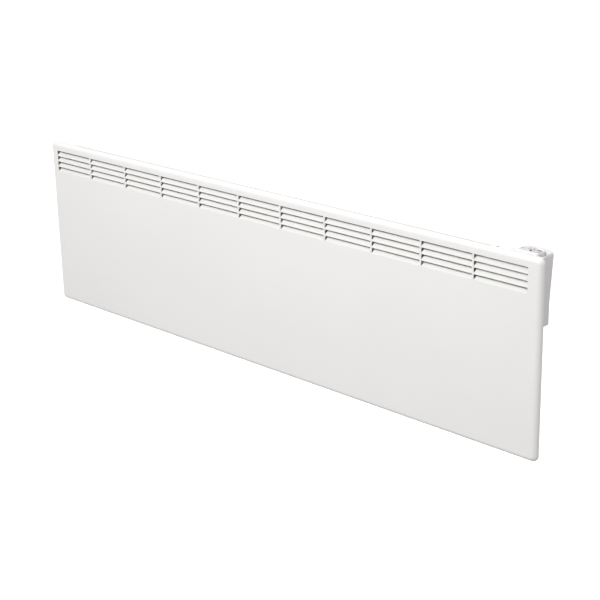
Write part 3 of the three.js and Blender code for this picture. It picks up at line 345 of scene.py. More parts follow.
def put(mesh, node, modifiers=(), smooth_below=35):
    """A finished piece for a CAD node: modifiers applied, shading set, and riding where the node rides."""
    piece = bpy.data.objects.new(node + "_surface", mesh)
    bpy.context.scene.collection.objects.link(piece)
    for kind, settings in modifiers:
        modifier = piece.modifiers.new(kind.lower(), kind)
        for option, value in settings.items():
            setattr(modifier, option, value)
    if modifiers:
        apply_modifiers(piece)
    piece.data.shade_smooth()
    piece.data.set_sharp_from_angle(angle=math.radians(smooth_below))
    piece.modifiers.new("weighted_normals", "WEIGHTED_NORMAL").keep_sharp = True
    apply_modifiers(piece)
    piece.data.materials.clear()
    piece.data.materials.append(finishes[slot_of[node]])
    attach(piece, body_of[node])
    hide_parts(node)
    print(piece.name, "faces:", len(piece.data.polygons))
    return piece


def sheet_of(thickness):
    """A Solidify modifier's settings: the surface is the outer face, and the metal lies behind it."""
    return ("SOLIDIFY", {"thickness": thickness, "offset": -1.0, "use_even_offset": True, "use_rim": True})


def soft_edges(width, segments=2, angle=40):
    """A Bevel modifier's settings: rounds only the edges sharper than the angle."""
    limit = {"limit_method": "ANGLE", "angle_limit": math.radians(angle)}
    return ("BEVEL", {"width": width, "segments": segments, **limit})


# %% [markdown]
# ## Pressed sheet
#
# The front panel and the rear casing are both pressed trays: a flat floor, a bend all round, a wall, and a
# lip. A tray is a stack of rings. Each ring is a rounded rectangle at one depth, drawn as the four edges of
# a rectangle moved out by a radius, with a fan at each corner. When the radius is 0 the ring is the plain
# rectangle that bounds the flat floor, so the floor can be a simple grid, and holes are squares left out.

# %% Rings, skins and floors of a tray
CORNER_STEPS = 8


def ring(rect, radius, depth, xs, zs):
    """A rounded rectangle: each edge moved out by the radius, and corner fans of radius (cos, sin)."""
    x0, x1, z0, z1 = rect
    across, up = np.array([x0, *xs, x1]), np.array([z0, *zs, z1])
    angles = np.linspace(0, np.pi / 2, CORNER_STEPS + 1)[1:-1]

    def fan(x, z, start):
        return np.column_stack([x + radius * np.cos(angles + start), z + radius * np.sin(angles + start)])

    outline = np.concatenate([
        np.column_stack([across, np.full_like(across, z0 - radius)]), fan(x1, z0, -np.pi / 2),
        np.column_stack([np.full_like(up, x1 + radius), up]), fan(x1, z1, 0),
        np.column_stack([across[::-1], np.full_like(across, z1 + radius)]), fan(x0, z1, np.pi / 2),
        np.column_stack([np.full_like(up, x0 - radius), up[::-1]]), fan(x0, z0, np.pi),
    ])
    return np.column_stack([outline[:, 0], np.full(len(outline), depth), outline[:, 1]])


def skin(rings, faces_room=True, opened=None):
    """The squares between a stack of rings. Those marked in opened are left out."""
    count = len(rings[0])
    faces = quads(len(rings), count, closed=True)
    if opened is not None:
        faces = faces[~opened.reshape(-1)]
    if not faces_room:
        faces = faces[:, ::-1]
    return np.concatenate(rings), faces


def floor(rect, depth, xs, zs, holes, faces_room=True):
    """The flat floor as a grid of squares, without those whose middle lies in a hole (x0, x1, z0, z1)."""
    x0, x1, z0, z1 = rect
    across, up = np.array([x0, *xs, x1]), np.array([z0, *zs, z1])
    x, z = np.meshgrid(across, up, indexing="ij")
    points = np.stack([x, np.full_like(x, depth), z], -1).reshape(-1, 3)
    faces = quads(len(across), len(up))
    middle = points[faces].mean(1)
    keep = np.ones(len(faces), bool)
    for hole in holes:
        inside = (middle[:, 0] > hole[0]) & (middle[:, 0] < hole[1])
        keep &= ~(inside & (middle[:, 2] > hole[2]) & (middle[:, 2] < hole[3]))
    faces = faces[keep]
    return points, (faces if faces_room else faces[:, ::-1])


# %% [markdown]
# ## Front panel
#
# One sheet of 1 mm steel makes the whole front. The press cuts the louvre slots on three sides and folds
# each slat back about its lower edge, which lets warm air out and keeps fingers away from the element. The
# slats are therefore part of the same sheet, with a small bend at their foot, and the sheet's cut edge shows
# all round each slot. The outer face is drawn as floor, bend, wall and lip, with a slat patch welded into
# each slot, and Solidify gives it all one thickness.

# %% Sizes of the front panel
panel_low, panel_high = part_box("front_panel")
PANEL_SHEET = 1.0 * MM
EDGE_RADIUS = 10 * MM
CORNER_RADIUS = 12 * MM
LIP = 13 * MM
HEM_RADIUS = 1.2 * MM
GROUP_WIDTH = 122 * MM
GROUP_GAP = 4 * MM
GROUP_MARGIN = 24 * MM
ROWS = 4
SLOT_HEIGHT = 11.2 * MM
ROW_GAP = 2 * MM
SLOT_TOP = 20 * MM
SLAT_TILT = math.radians(55)
SLAT_BEND = 1.8 * MM
SLAT_REACH = 10.6 * MM
SLAT_CLEARANCE = 0.4 * MM

front = panel_low.y
room = panel_high.x - panel_low.x - 2 * GROUP_MARGIN + GROUP_GAP
groups = int(room / (GROUP_WIDTH + GROUP_GAP))
group_starts = panel_low.x + GROUP_MARGIN + np.arange(groups) * (GROUP_WIDTH + GROUP_GAP)
slot_feet = panel_high.z - SLOT_TOP - SLOT_HEIGHT - np.arange(ROWS) * (SLOT_HEIGHT + ROW_GAP)
print("louvre groups:", groups, "slots:", groups * ROWS)

# %% [markdown]
# ### The panel's edge and slats
#
# Both are a quarter or less of a turn and then a straight. Along the edge, a turn of radius r goes out by
# r sin a and back by r (1 - cos a), with a small second turn where the lip folds in behind. A slat's bend
# goes the other way: up by r sin a, and back by r (1 - cos a), until it reaches its tilt.

# %% Make the front panel
def edge_profile():
    """Radius and depth of each ring: the flat, the bend r sin a and r (1 - cos a), the hem and the lip."""
    flat = CORNER_RADIUS - EDGE_RADIUS
    depth = panel_high.y - front
    a = np.linspace(0, np.pi / 2, 11)
    bend = np.column_stack([flat + EDGE_RADIUS * np.sin(a), EDGE_RADIUS * (1 - np.cos(a))])
    b = np.linspace(0, np.pi / 2, 5)
    inward, back = HEM_RADIUS * (1 - np.cos(b)), HEM_RADIUS * (1 - np.sin(b))
    hem = np.column_stack([CORNER_RADIUS - inward, depth - back])
    return [(0.0, 0.0), *bend, *hem, (CORNER_RADIUS - LIP, depth)]


def slat(x0, x1, foot):
    """A slat's outer face, carried along x: a bend of radius r up to the tilt, then straight to the tip."""
    a = np.linspace(0, SLAT_TILT, 6)
    y = front + SLAT_BEND * (1 - np.cos(a))
    z = foot + SLAT_BEND * np.sin(a)
    run = SLAT_REACH - SLAT_BEND * SLAT_TILT
    y = np.append(y, y[-1] + run * math.sin(SLAT_TILT))
    z = np.append(z, z[-1] + run * math.cos(SLAT_TILT))
    x = np.array([x0 + SLAT_CLEARANCE, x1 - SLAT_CLEARANCE])
    points = np.stack(np.broadcast_arrays(x[:, None], y, z), -1)
    return points.reshape(-1, 3), quads(2, len(y))


def front_panel():
    """The panel's outer face: the floor less its slots, the rings of the edge, and a slat in each slot."""
    inset = CORNER_RADIUS
    rect = (panel_low.x + inset, panel_high.x - inset, panel_low.z + inset, panel_high.z - inset)
    across = np.array([0, SLAT_CLEARANCE, GROUP_WIDTH - SLAT_CLEARANCE, GROUP_WIDTH])
    ends = (group_starts[:, None] + across).ravel()
    heights = np.sort(np.concatenate([slot_feet, slot_feet + SLOT_HEIGHT]))
    slots = [(s, s + GROUP_WIDTH, foot, foot + SLOT_HEIGHT) for s in group_starts for foot in slot_feet]
    patches = [floor(rect, front, ends, heights, slots)]
    rings = [ring(rect, r, front + d, ends, heights) for r, d in edge_profile()]
    patches.append(skin(rings))
    patches += [slat(x0, x1, foot) for x0, x1, foot, _ in slots]
    return weld("front_panel", patches)


put(front_panel(), "front_panel", [sheet_of(PANEL_SHEET), soft_edges(0.18 * MM)])

# %% [markdown]
# ## Turned, extruded and folded pieces
#
# Most of the small pieces are one of three kinds. A turned piece is a profile carried round an axis. An
# extruded piece is a flat outline carried along an axis. A folded strip is a path with a bend radius at
# each corner and the same thickness everywhere. One function makes each kind, and each piece is then only
# its sizes.

# %% Helpers for solid pieces
AXES = {"x": (1, 2, 0), "y": (2, 0, 1), "z": (0, 1, 2)}


def along(axis, u, v, w):
    """Points from two coordinates across an axis and one along it, as x, y, z."""
    points = np.empty((np.size(w), 3))
    for column, values in zip(AXES[axis], (u, v, w)):
        points[:, column] = np.ravel(values)
    return points


def outward(mesh):
    """Turns every face of a closed mesh outwards."""
    work = bmesh.new()
    work.from_mesh(mesh)
    bmesh.ops.recalc_face_normals(work, faces=work.faces)
    work.to_mesh(mesh)
    work.free()
    return mesh


def turned(profile, axis, place, steps=48, radius_at=None):
    """A profile of (radius, distance along) in mm, carried round an axis: r cos t, r sin t.

    Where radius_at is given, r is multiplied by its value at t.
    """
    profile = np.asarray(profile, float) * MM
    t = np.arange(steps) * 2 * np.pi / steps
    wave = np.ones(steps) if radius_at is None else radius_at(t)
    r = profile[:, 0][:, None] * wave
    w = np.broadcast_to(profile[:, 1][:, None], r.shape)
    points = along(axis, r * np.cos(t), r * np.sin(t), w) + np.array(place)
    return points, quads(len(profile), steps, closed=True)


def extruded(outline, axis, start, end):
    """An outline across an axis carried from start to end along it, with a flat cap at each end."""
    outline = np.asarray(outline, float)
    count = len(outline)
    u, v = np.tile(outline.T, 2)
    points = along(axis, u, v, np.repeat([start, end], count))
    caps = [tuple(range(count)), tuple(range(2 * count - 1, count - 1, -1))]
    return points, [*map(tuple, quads(2, count, closed=True)), *caps]


def rounded_path(corners, radius, steps=6):
    """A path with an arc at each inner corner, between its tangent points at r / tan(half the angle)."""
    corners = [np.asarray(c, float) for c in corners]
    path = [corners[0]]
    for before, corner, after in zip(corners, corners[1:], corners[2:]):
        a = (before - corner) / np.linalg.norm(before - corner)
        b = (after - corner) / np.linalg.norm(after - corner)
        half = math.acos(np.clip(a @ b, -1, 1)) / 2
        start, end = corner + a * radius / math.tan(half), corner + b * radius / math.tan(half)
        middle = corner + (a + b) / np.linalg.norm(a + b) * radius / math.sin(half)
        share = np.linspace(0, 1, steps + 1)[:, None]
        chord = start * (1 - share) + end * share - middle
        path += list(middle + chord / np.linalg.norm(chord, axis=1)[:, None] * radius)
    return np.array([*path, corners[-1]])


def folded(path, thickness):
    """A strip's outline: the path moved half the thickness to each side, square to its direction."""
    step = np.gradient(path, axis=0)
    side = np.column_stack([-step[:, 1], step[:, 0]]) / np.linalg.norm(step, axis=1)[:, None]
    return np.concatenate([path + side * thickness / 2, (path - side * thickness / 2)[::-1]])


def from_cad(node):
    """A CAD node's own mesh, with its loose triangles merged into whole flat faces."""
    work = bmesh.new()
    work.from_mesh(frame["nodes"][node].data)
    bmesh.ops.remove_doubles(work, verts=work.verts, dist=1e-6)
    bmesh.ops.dissolve_limit(work, angle_limit=math.radians(0.6), verts=work.verts, edges=work.edges)
    mesh = bpy.data.meshes.new(node)
    work.to_mesh(mesh)
    work.free()
    return mesh


# %% [markdown]
# ## Rear casing
#
# The back is one sheet of 0.7 mm galvanised steel, deep-drawn into a pan that holds the element, with a
# flat flange all round that is screwed to the panel's lips. Cool air comes in through a row of slots in the
# pan's underside and a second row low on its back. The skin is drawn from the inside out: the pan's floor,
# the bend, the wall, a small root bend, and the flange. Slots in the wall are squares left out of the stack
# of rings.

# %% Sizes of the rear casing
CASING_SHEET = 0.7 * MM
PAN_BEND = 5 * MM
PAN_MARGIN = 1 * MM
ROOT_BEND = 1.5 * MM
PAN_END_ROOM = 10 * MM
PAN_FOOT = 14 * MM
PAN_TOP_ROOM = 1 * MM
INLETS = 14
INLET_LENGTH = 62 * MM
INLET_HALF_DEPTH = 9 * MM
INLET_END_ROOM = 20 * MM
BACK_INLET = (22 * MM, 31 * MM)
LATCH_SLOT = (314.8 * MM, 321 * MM)
LATCH_CLEARANCE = 1.5 * MM
LEAD_HOLE = 5 * MM
FLANGE_CORNER = 8 * MM
TOLERANCE = 0.01 * MM

flange_low, flange_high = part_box("rear_casing")
guide_low, guide_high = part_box("air_guide")
grommet_low, grommet_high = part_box("lead_grommet")
rod_low, rod_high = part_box("heating_rod")
pan_x0, pan_x1 = guide_low.x - PAN_END_ROOM, guide_high.x + PAN_END_ROOM
pan_z0, pan_z1 = panel_low.z + PAN_FOOT, guide_high.z + PAN_TOP_ROOM
flange_back = flange_low.y + CASING_SHEET
inlet_pitch = (pan_x1 - pan_x0 - 2 * INLET_END_ROOM) / INLETS
inlet_middles = pan_x0 + INLET_END_ROOM + (np.arange(INLETS) + 0.5) * inlet_pitch
duct_y = rod_low.y / 2 + rod_high.y / 2
lead_y = (grommet_low.y + grommet_high.y) / 2
lead_z = (grommet_low.z + grommet_high.z) / 2
print("pan", round(pan_x1 - pan_x0, 4), "by", round(pan_z1 - pan_z0, 4), "m")
print("inlets every", round(inlet_pitch, 4), "m")

# %% [markdown]
# ### Slots in a stack of rings
#
# The rings carry points at every slot's ends, so a slot is whole squares. Each square's middle is the mean of
# its four corners, and the squares whose middles lie on the pan's foot between an inlet's ends, or in the
# lead's hole in the right wall, are left out.

# %% Make the rear casing
def slots_in(rings):
    """Which squares of the stack of rings are open: the inlets under the pan, and the hole for the leads."""
    stack = np.array(rings)
    middle = (stack[:-1] + stack[1:]) / 2
    middle = (middle + np.roll(middle, -1, axis=1)) / 2
    x, y, z = np.moveaxis(middle, -1, 0)
    in_duct = (y < duct_y + INLET_HALF_DEPTH) & (y > duct_y - INLET_HALF_DEPTH)
    at_inlet = (np.abs(x[..., None] - inlet_middles) < INLET_LENGTH / 2).any(-1)
    at_lead = (np.abs(z - lead_z) < LEAD_HOLE) & (np.abs(y - lead_y) < LEAD_HOLE)
    return (in_duct & at_inlet & (z < pan_z0 + TOLERANCE)) | (at_lead & (x > pan_x1 - TOLERANCE))


def rear_casing():
    """The casing's inner face: the pan's floor and its slots, then the bend, wall, root bend and flange."""
    inset = PAN_BEND + PAN_MARGIN
    rect = (pan_x0 + inset, pan_x1 - inset, pan_z0 + inset, pan_z1 - inset)
    inlets = np.stack([inlet_middles - INLET_LENGTH / 2, inlet_middles + INLET_LENGTH / 2], 1)
    springs = [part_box(f"latch_spring_{side}") for side in ("left", "right")]
    latches = [(low.x - LATCH_CLEARANCE, high.x + LATCH_CLEARANCE) for low, high in springs]
    inlet_z = [pan_z0 + z for z in BACK_INLET]
    latch_z = [panel_low.z + z for z in LATCH_SLOT]
    xs = np.sort(np.concatenate([inlets.ravel(), np.ravel(latches)]))
    zs = np.sort([*inlet_z, lead_z - LEAD_HOLE, lead_z + LEAD_HOLE, *latch_z])
    holes = [(*ends, *inlet_z) for ends in inlets] + [(*ends, *latch_z) for ends in latches]

    deep = flange_high.y
    a = np.linspace(0, np.pi / 2, 7)
    bend = np.column_stack([PAN_MARGIN + PAN_BEND * np.sin(a), deep - PAN_BEND * (1 - np.cos(a))])
    cuts = [duct_y + INLET_HALF_DEPTH, duct_y - INLET_HALF_DEPTH, lead_y + LEAD_HOLE, lead_y - LEAD_HOLE]
    wall = [(inset, y) for y in sorted(cuts, reverse=True)]
    root = np.column_stack([inset + ROOT_BEND * (1 - np.cos(a)), flange_back + ROOT_BEND * (1 - np.sin(a))])
    rings = [ring(rect, r, y, xs, zs) for r, y in [(0.0, deep), *bend, *wall, *root]]
    rim = (flange_low.x + FLANGE_CORNER, flange_high.x - FLANGE_CORNER)
    rim += (flange_low.z + FLANGE_CORNER, flange_high.z - FLANGE_CORNER)
    rings.append(ring(rim, FLANGE_CORNER, flange_back, xs, zs))
    pan_floor = floor(rect, deep, xs, zs, holes, faces_room=False)
    return weld("rear_casing", [pan_floor, skin(rings, False, slots_in(rings))])


put(rear_casing(), "rear_casing", [sheet_of(CASING_SHEET), soft_edges(0.12 * MM)])

# %% [markdown]
# ## Sheet brackets, hangers and lugs
#
# The lugs, hangers and bracket are punched and folded blanks, so their outlines and holes are the CAD model's
# own. Punching leaves a small rolled edge on one side of the cut, and the plating rounds the other. Faces
# that meet at a sharp corner get a bevel of 0.2 mm, which catches the light along every edge of real sheet.
# The small blocks keep their shapes too: mouldings get rounder edges than a profile that is sawn to length.

# %% Edge the sheet pieces and small blocks
SHEET_EDGE_MM = 0.2
BLOCK_EDGES_MM = {
    "element_profile": 0.15,
    "switch_body": 0.12,
    "thermostat_body": 0.5,
    "control_board": 0.15,
    "terminal_block": 0.3,
    "gland_nut": 0.3,
}
sheet_nodes = [name for name in frame["nodes"] if name.startswith(("bracket_", "hang_lug", "element_hanger"))]
for node, width in {**dict.fromkeys(sheet_nodes, SHEET_EDGE_MM), **BLOCK_EDGES_MM}.items():
    put(from_cad(node), node, [soft_edges(width * MM, angle=50)])

# %% [markdown]
# ## Folded strips
#
# The heat shield and the two latch springs are strips bent on a press brake. A bend in sheet is never sharp:
# its inside radius is about the sheet's thickness or more. The spring's tongue ends in a barb that snaps
# behind the edge of its slot in the rear casing. The air guide is rolled to a wide curve instead, which
# turns the rising air out through the louvres.

# %% Make the folded strips
def strip_piece(node, corners, radius, thickness):
    """A folded strip in the plane across x, between the CAD node's own ends."""
    low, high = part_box(node)
    outline = folded(rounded_path(corners, radius), thickness)
    mesh = outward(weld(node, [extruded(outline, "x", low.x, high.x)]))
    put(mesh, node, [soft_edges(0.08 * MM, 1, 60)])


SPRING_SHEET = 0.8 * MM
TONGUE_HEIGHT = 26 * MM
for side in ("left", "right"):
    low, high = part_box("latch_spring_" + side)
    tongue_z = low.z + TONGUE_HEIGHT - SPRING_SHEET / 2
    foot = [(high.y - SPRING_SHEET / 2, low.z), (high.y - SPRING_SHEET / 2, tongue_z)]
    crest, tip = (low.y + 1.6 * MM, tongue_z + 0.9 * MM), (low.y + 0.3 * MM, tongue_z - 1 * MM)
    tongue = [*foot, (low.y + 3 * MM, tongue_z), crest, tip]
    strip_piece("latch_spring_" + side, tongue, 0.5 * MM, SPRING_SHEET)

THIN_SHEET = 0.5 * MM
half = THIN_SHEET / 2
low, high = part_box("heat_shield")
shield = [(low.y + half, low.z), (low.y + half, high.z - 3.6 * MM), (high.y, high.z - half)]
strip_piece("heat_shield", shield, 1.2 * MM, THIN_SHEET)

GUIDE_BEND = 26.5 * MM
low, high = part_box("air_guide")
guide = [(high.y - half, low.z), (high.y - half, high.z - half), (low.y, high.z - half)]
strip_piece("air_guide", guide, GUIDE_BEND, THIN_SHEET)

# %% [markdown]
# ## Screws, pins and rivets
#
# Screw heads are cold-formed: a low dome with a soft edge, and a slot. The head is drawn in two halves, one
# on each side of the slot. Both halves use the same places along the slot, and run from its edge out to the
# rim at the square root of R squared minus u squared, so the slot's edges stay straight and the rim stays
# round. The shank's thread is too fine to need a helix here, so it is a row of ridges. Pins and rivets are
# turned profiles.

# %% Make the screws, pins and rivets
def screw(node, radius=3.6, rise=2.2, shank=1.65, slot_half=0.45, slot_depth=1.0):
    """A slotted screw facing +Y, sizes in mm: its dome is rim + (rise - rim) sqrt(1 - (r / R)^4)."""
    low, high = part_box(node)
    rim = rise - slot_depth
    start = math.asin(slot_half / radius)
    u = radius * np.cos(np.linspace(start, np.pi - start, 25))
    share = np.linspace(0, 1, 9)[:, None]
    v = slot_half + (np.sqrt(radius ** 2 - u ** 2) - slot_half) * share
    dome = rim + (rise - rim) * np.sqrt(np.clip(1 - (np.hypot(u, v) / radius) ** 4, 0, 1))

    def patch(across, out):
        """A grid from places across the slot and outwards, at the same places u along it."""
        grid = np.broadcast_arrays(across, u, out)
        return along("y", *grid), quads(*grid[0].shape)

    rim_fall = np.array([1.0, 0.15, 0.0])[:, None] * rim
    slot_wall = np.stack([dome[0], np.full_like(u, rim)])
    patches = [patch(np.array([-slot_half, slot_half])[:, None], rim)]
    for sign in (1, -1):
        patches += [patch(sign * v, dome), patch(sign * v[-1], rim_fall), patch(sign * slot_half, slot_wall)]
    seat = high.y / MM - rise
    middle = np.array([(low.x + high.x) / 2, seat * MM, (low.z + high.z) / 2])
    patches = [(points * MM + middle, faces) for points, faces in patches]

    length = seat - low.y / MM
    ridges = np.arange(0.6, length - 1.6, 0.35)
    thread = [(shank - 0.3 * (i % 2), -depth) for i, depth in enumerate(ridges)]
    profile = [(radius, 0), (shank, 0), *thread, (shank, 1.5 - length), (0, -length)]
    patches.append(turned(profile, "y", middle, 24))
    put(outward(weld(node, patches, 2e-5)), node)


for node in [name for name in frame["nodes"] if "_screw" in name]:
    screw(node)


def turned_piece(node, profile, axis, edge=0.25, steps=40, radius_at=None, closed=False):
    """A turned piece whose profile, in mm, is measured along the axis from the CAD node's low end."""
    low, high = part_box(node)
    place = [(a + b) / 2 for a, b in zip(low, high)]
    place["xyz".index(axis)] = low["xyz".index(axis)]
    outline = rounded_path(profile, edge, 3)
    if closed:
        outline = np.concatenate([outline, outline[:1]])
    put(outward(weld(node, [turned(outline, axis, place, steps, radius_at)])), node)


def length_of(node, axis):
    """A CAD node's length along an axis, in mm."""
    low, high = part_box(node)
    return (high["xyz".index(axis)] - low["xyz".index(axis)]) / MM


for side in ("left", "right"):
    run = length_of("hang_pin_" + side, "x")
    near_head, far_head = [(3.8, 0), (3.8, 1.5)], [(3.8, run - 1.5), (3.8, run)]
    pin = [(0, 0), *near_head, (2.5, 1.5), (2.5, run - 1.5), *far_head, (0, run)]
    turned_piece("hang_pin_" + side, pin, "x", 0.3)
    run = length_of("latch_rivet_" + side, "y")
    tail = [(0, 0), (2.4, 0.1), (3.7, 1.5), (2.2, 1.5), (2.2, run - 1), (3.1, run), (0, run)]
    turned_piece("latch_rivet_" + side, tail, "y", 0.15)
    for number in (1, 2):
        node = f"rail_rivet_{side}_{number}"
        run = length_of(node, "x")
        half_rivet = [(0, 0), (1.8, 0.1), (3.6, 1.1), (3.6, 1.4), (2.2, 1.4)]
        other_half = [(radius, run - place) for radius, place in reversed(half_rivet)]
        turned_piece(node, [*half_rivet, *other_half], "x", 0.12)

# %% [markdown]
# ## Element, beads, grommet and gland
#
# The heating rod is a steel tube packed with magnesia round a wire, and its ends are thinner terminal pins.
# A steatite bead insulates each pin. The leads pass the rear casing in a rubber grommet, and the supply
# cable would pass the housing's foot in a gland whose flange is ribbed for the fingers. The leads keep their
# CAD route, and subdivision makes their sections round.

# %% Make the round electrical pieces
run = length_of("heating_rod", "x")
rod = [(0, 0), (1.8, 0), (1.8, 20), (4.25, 20), (4.25, run - 20), (1.8, run - 20), (1.8, run), (0, run)]
turned_piece("heating_rod", rod, "x", 0.4)
for side in ("left", "right"):
    bead = [(2.1, 6), (2.1, 0), (5.65, 0), (5.65, 12), (2.1, 12), (2.1, 6.01)]
    turned_piece("ceramic_bead_" + side, bead, "x", 0.6, closed=True)

run = length_of("lead_grommet", "x")
lip = [(4.8, 1), (4.8, 0), (8, 0), (8, 2), (6, 2)]
groove = [(6, run - 1.9), (8, run - 1.9), (8, run), (4.8, run), (4.8, 1.01)]
turned_piece("lead_grommet", [*lip, *groove], "x", 0.45, closed=True)

GLAND_RIBS = 16


def ribbed(t):
    """A ripple of a little over 2 % in the radius, once for each rib: 1 - 0.012 (1 - cos(ribs t))."""
    return 1 - 0.012 * (1 - np.cos(GLAND_RIBS * t))


gland = [(3.2, 7), (3.2, 0), (7.4, 0), (7.4, 6), (4.8, 6), (4.8, 15), (3.2, 15), (3.2, 7.01)]
turned_piece("cable_gland", gland, "z", 0.4, 96, ribbed, closed=True)
for node in ("live_lead", "neutral_lead", "earth_lead"):
    put(from_cad(node), node, [("SUBSURF", {"levels": 2, "render_levels": 2})], 60)
put(from_cad("overheat_cutout"), "overheat_cutout", [soft_edges(0.2 * MM, angle=50)])
put(from_cad("dial_shaft"), "dial_shaft", [soft_edges(0.3 * MM, angle=50)])

# %% [markdown]
# ## Thermostat housing
#
# A white moulding hooks over the panel's right end and holds the control. Seen from the side, its back is
# plumb at the foot and then leans out to the top. Seen from the front, a low wing rises in a soft curve to
# the control's end. Moulded edges are rounded by at least half a millimetre, or they would chip.

# %% Make the thermostat housing
put(from_cad("thermostat_housing"), "thermostat_housing", [soft_edges(0.5 * MM, 3, 35)])

# %% [markdown]
# ## Control cover
#
# The control's cover is a thin moulded cap with a crowned edge, in the tray of the housing. It has openings
# for the dial's shaft, the rocker and the lamp, which are the CAD model's own.

# %% Make the control cover
put(from_cad("control_cover"), "control_cover", [soft_edges(0.25 * MM, 2, 40)], 40)

# %% [markdown]
# ## Dial
#
# The thermostat's dial is fluted for wet fingers, with a pointer bar across it and a dark mark on its skirt.
# It is one grid of rings and angles. Down the skirt, the radius dips at each flute. On the top, the height
# rises under the bar. The dark mark is painted into the dial's own finish as a dot of darker colour: wherever
# a point lies near enough to the mark's middle, seen from above, the plastic's colour gives way to it.

# %% Make the dial
FLUTES = 20
FLUTE_DEPTH = 0.45
FLUTE_STEPS = 12
BAR_RISE = 1.4
BAR_HALF = (1.0, 7.0)
DIAL_RINGS = np.array([
    # radius, height, share of the flutes' depth
    (0.0, 0, 0), (9.0, 0, 0), (9.35, 0.15, 0.6), (9.5, 0.5, 1), (9.5, 2.2, 1), (9.4, 2.55, 1),
    (9.15, 2.8, 0.8), (8.8, 2.9, 0.3), (8.4, 2.9, 0), (8.0, 2.75, 0), (7.6, 2.5, 0),
    *[(radius, 2.45, 0) for radius in np.arange(7.2, 0.3, -0.4)], (0.0, 2.45, 0),
])
SKIRT_RINGS = 5
dial_low, dial_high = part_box("dial")
dial_x, dial_y = (dial_low.x + dial_high.x) / 2, (dial_low.y + dial_high.y) / 2


def step_down(distance, edge, softness):
    """1 inside an edge and 0 outside it, with a smooth fall s s (3 - 2 s) between."""
    s = np.clip((edge - distance) / softness + 0.5, 0, 1)
    return s * s * (3 - 2 * s)


def dial_surface():
    """Rings of radius r - depth (1 - cos(flutes t)) / 2, and a height that rises under the bar."""
    t = np.arange(FLUTES * FLUTE_STEPS) * 2 * np.pi / (FLUTES * FLUTE_STEPS)
    ring_radius, ring_height, fluted = DIAL_RINGS.T[:, :, None]
    r = ring_radius - fluted * FLUTE_DEPTH * (0.5 - 0.5 * np.cos(FLUTES * t))
    u, v = r * np.cos(t), r * np.sin(t)
    on_top = np.arange(len(DIAL_RINGS))[:, None] >= SKIRT_RINGS
    bar = step_down(np.abs(u), BAR_HALF[0], 0.5) * step_down(np.abs(v), BAR_HALF[1], 1.0) * on_top
    height = ring_height + BAR_RISE * bar
    height *= (dial_high.z - dial_low.z) / MM / height.max()
    points = np.stack([u, v, height], -1).reshape(-1, 3) * MM + [dial_x, dial_y, dial_low.z]
    return points, quads(*r.shape, closed=True)


def dark_dot(finish, colour, dot_colour, middle, radius):
    """Paints a dark dot on a finish: the dot's colour where the distance from its middle, seen from above, is
    small.
    """
    tree, shader = finish.node_tree, finish.node_tree.nodes["Principled BSDF"]
    place = add(tree, "TexCoord").outputs["Object"]
    flat = add(tree, "VectorMath", {0: place, 1: (1, 1, 0)}, operation="MULTIPLY").outputs["Vector"]
    away = add(tree, "VectorMath", {0: flat, 1: (*middle, 0)}, operation="DISTANCE").outputs["Value"]
    inside_dot = add(tree, "Math", {0: away, 1: radius}, operation="LESS_THAN").outputs["Value"]
    tree.links.new(tint(tree, inside_dot, colour, dot_colour), shader.inputs["Base Color"])
    return finish


SKIRT_RADIUS = 9.5 * MM
MARK_RADIUS = 1.5 * MM
MARK_ANGLE = math.radians(-42)
mark = (dial_x + SKIRT_RADIUS * math.cos(MARK_ANGLE), dial_y + SKIRT_RADIUS * math.sin(MARK_ANGLE))
# A dark dot is painted on the dial's skirt, at its front-right.
satin = moulded("satin_abs_with_dark_dot", "#DDDCDC", 0.36)
dial = put(outward(weld("dial", [dial_surface()])), "dial", smooth_below=50)
dial.data.materials[0] = dark_dot(satin, "#DDDCDC", "#3E393B", mark, MARK_RADIUS)

# %% [markdown]
# ## Switch and lamp
#
# The rocker sits with its rear end down, which is off. It keeps the CAD model's shape, whose underside is a
# half drum about its pivot, and gets moulded edges. The lamp's lens is a short rod of frosted polycarbonate
# with a rounded end.

# %% Make the rocker and the lens
put(from_cad("switch_rocker"), "switch_rocker", [soft_edges(0.35 * MM, 3, 35)])
run = length_of("indicator_lens", "z")
lens = [(0, 0), (1.5, 0), (1.5, run - 1.0), (1.2, run - 0.35), (0.6, run - 0.05), (0, run)]
turned_piece("indicator_lens", lens, "z", 0.2, 32)

# %% [markdown]
# ## Light and floor
#
# A small studio. A broad softbox stands in front and above, aimed down at the heater, with a strip light over
# its top edge and a weak fill for its right end. Two lamps under the heater's level light only the floor that
# the camera sees behind it, so that the ground goes white while the heater's lower and end faces keep their
# shade. An even, dim room fills the rest. The floor is pale and well below, because the heater hangs on a
# wall. Each lamp is given by its radiance, which is what sets how bright it looks in a reflection, and its
# power follows from its area. The lamps don't show in the picture themselves.

# %% Make the lamps
FLOOR_DROP = 2.6
FLOOR_LAMP_RISE = 0.6
FLOOR_LAMP_RADIANCE = 1.5
ROOM_STRENGTH = 0.25


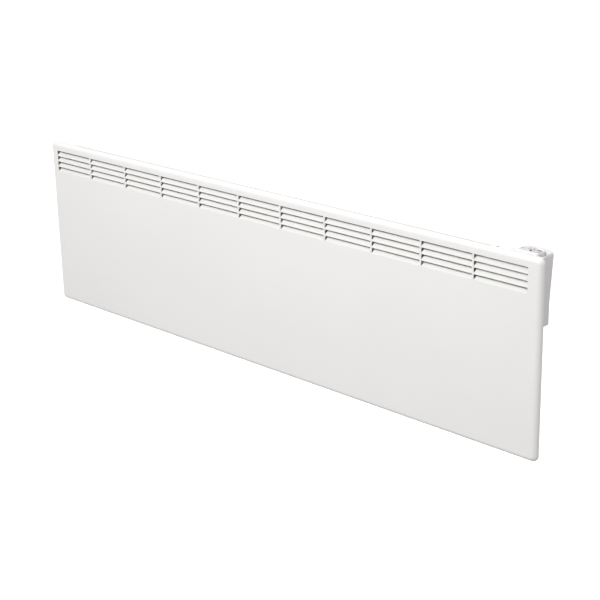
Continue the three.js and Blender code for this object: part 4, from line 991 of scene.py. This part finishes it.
def softbox(name, width, height, radiance, place, target, roll=0):
    """An area lamp aimed at a target: its power is pi times its area times its radiance."""
    lamp = bpy.data.objects.new(name, bpy.data.lights.new(name, "AREA"))
    lamp.data.shape = "RECTANGLE"
    lamp.data.size, lamp.data.size_y = width, height
    lamp.data.energy = math.pi * width * height * radiance
    lamp.location = place
    lamp.rotation_mode = "QUATERNION"
    aim = (Vector(target) - Vector(place)).to_track_quat("-Z", "Y")
    lamp.rotation_quaternion = aim @ Quaternion((0, 0, 1), roll)
    lamp.visible_camera = False
    bpy.context.scene.collection.objects.link(lamp)
    print(name, round(lamp.data.energy), "W")


def floor_lamp(name, width, near, far):
    """A lamp that faces the floor, from near to far metres behind the heater in the camera's direction."""
    behind = Vector((math.sin(AZIMUTH), math.cos(AZIMUTH), 0))
    ground = Vector((0, 0, cad_box[0].z - FLOOR_DROP))
    over = behind * (near + far) / 2 + ground + Vector((0, 0, FLOOR_LAMP_RISE))
    softbox(name, width, far - near, FLOOR_LAMP_RADIANCE, over, over + ground, -AZIMUTH)


softbox("front_softbox", 3.0, 1.8, 7.7, (0, -2.9, 2.1), (0, -0.05, -0.03))
softbox("top_strip", 2.2, 0.4, 2.0, (0, 0.3, 1.0), (0, 0.3, 0))
softbox("end_fill", 2.0, 2.0, 2.0, (3.2, 0.7, 0.5), (0.7, -0.05, 0.1))
floor_lamp("near_floor_lamp", 5.6, 2.6, 9.0)
floor_lamp("far_floor_lamp", 12.0, 9.0, 26.0)

# %% Make the room and the floor
FLOOR_HALF = 120.0


def dim_room():
    """An even white world, with the Standard view so that a white surface comes out as it is lit."""
    world = bpy.data.worlds.new("dim_room")
    bpy.context.scene.world = world
    world.use_nodes = True
    world.node_tree.nodes["Background"].inputs["Color"].default_value = (1, 1, 1, 1)
    world.node_tree.nodes["Background"].inputs["Strength"].default_value = ROOM_STRENGTH
    bpy.context.scene.view_settings.view_transform = "Standard"


def pale_floor():
    """One flat square, far below the heater."""
    mesh = bpy.data.meshes.new("floor")
    z = cad_box[0].z - FLOOR_DROP
    corners = [(x * FLOOR_HALF, y * FLOOR_HALF, z) for x, y in ((-1, -1), (1, -1), (1, 1), (-1, 1))]
    mesh.from_pydata(corners, [], [(0, 1, 2, 3)])
    mesh.materials.append(new_material("pale_floor", "#E4E4E4", 0.9)[0])
    thing = bpy.data.objects.new("floor", mesh)
    bpy.context.scene.collection.objects.link(thing)
    print("floor at z =", round(z, 3), "m")


dim_room()
pale_floor()
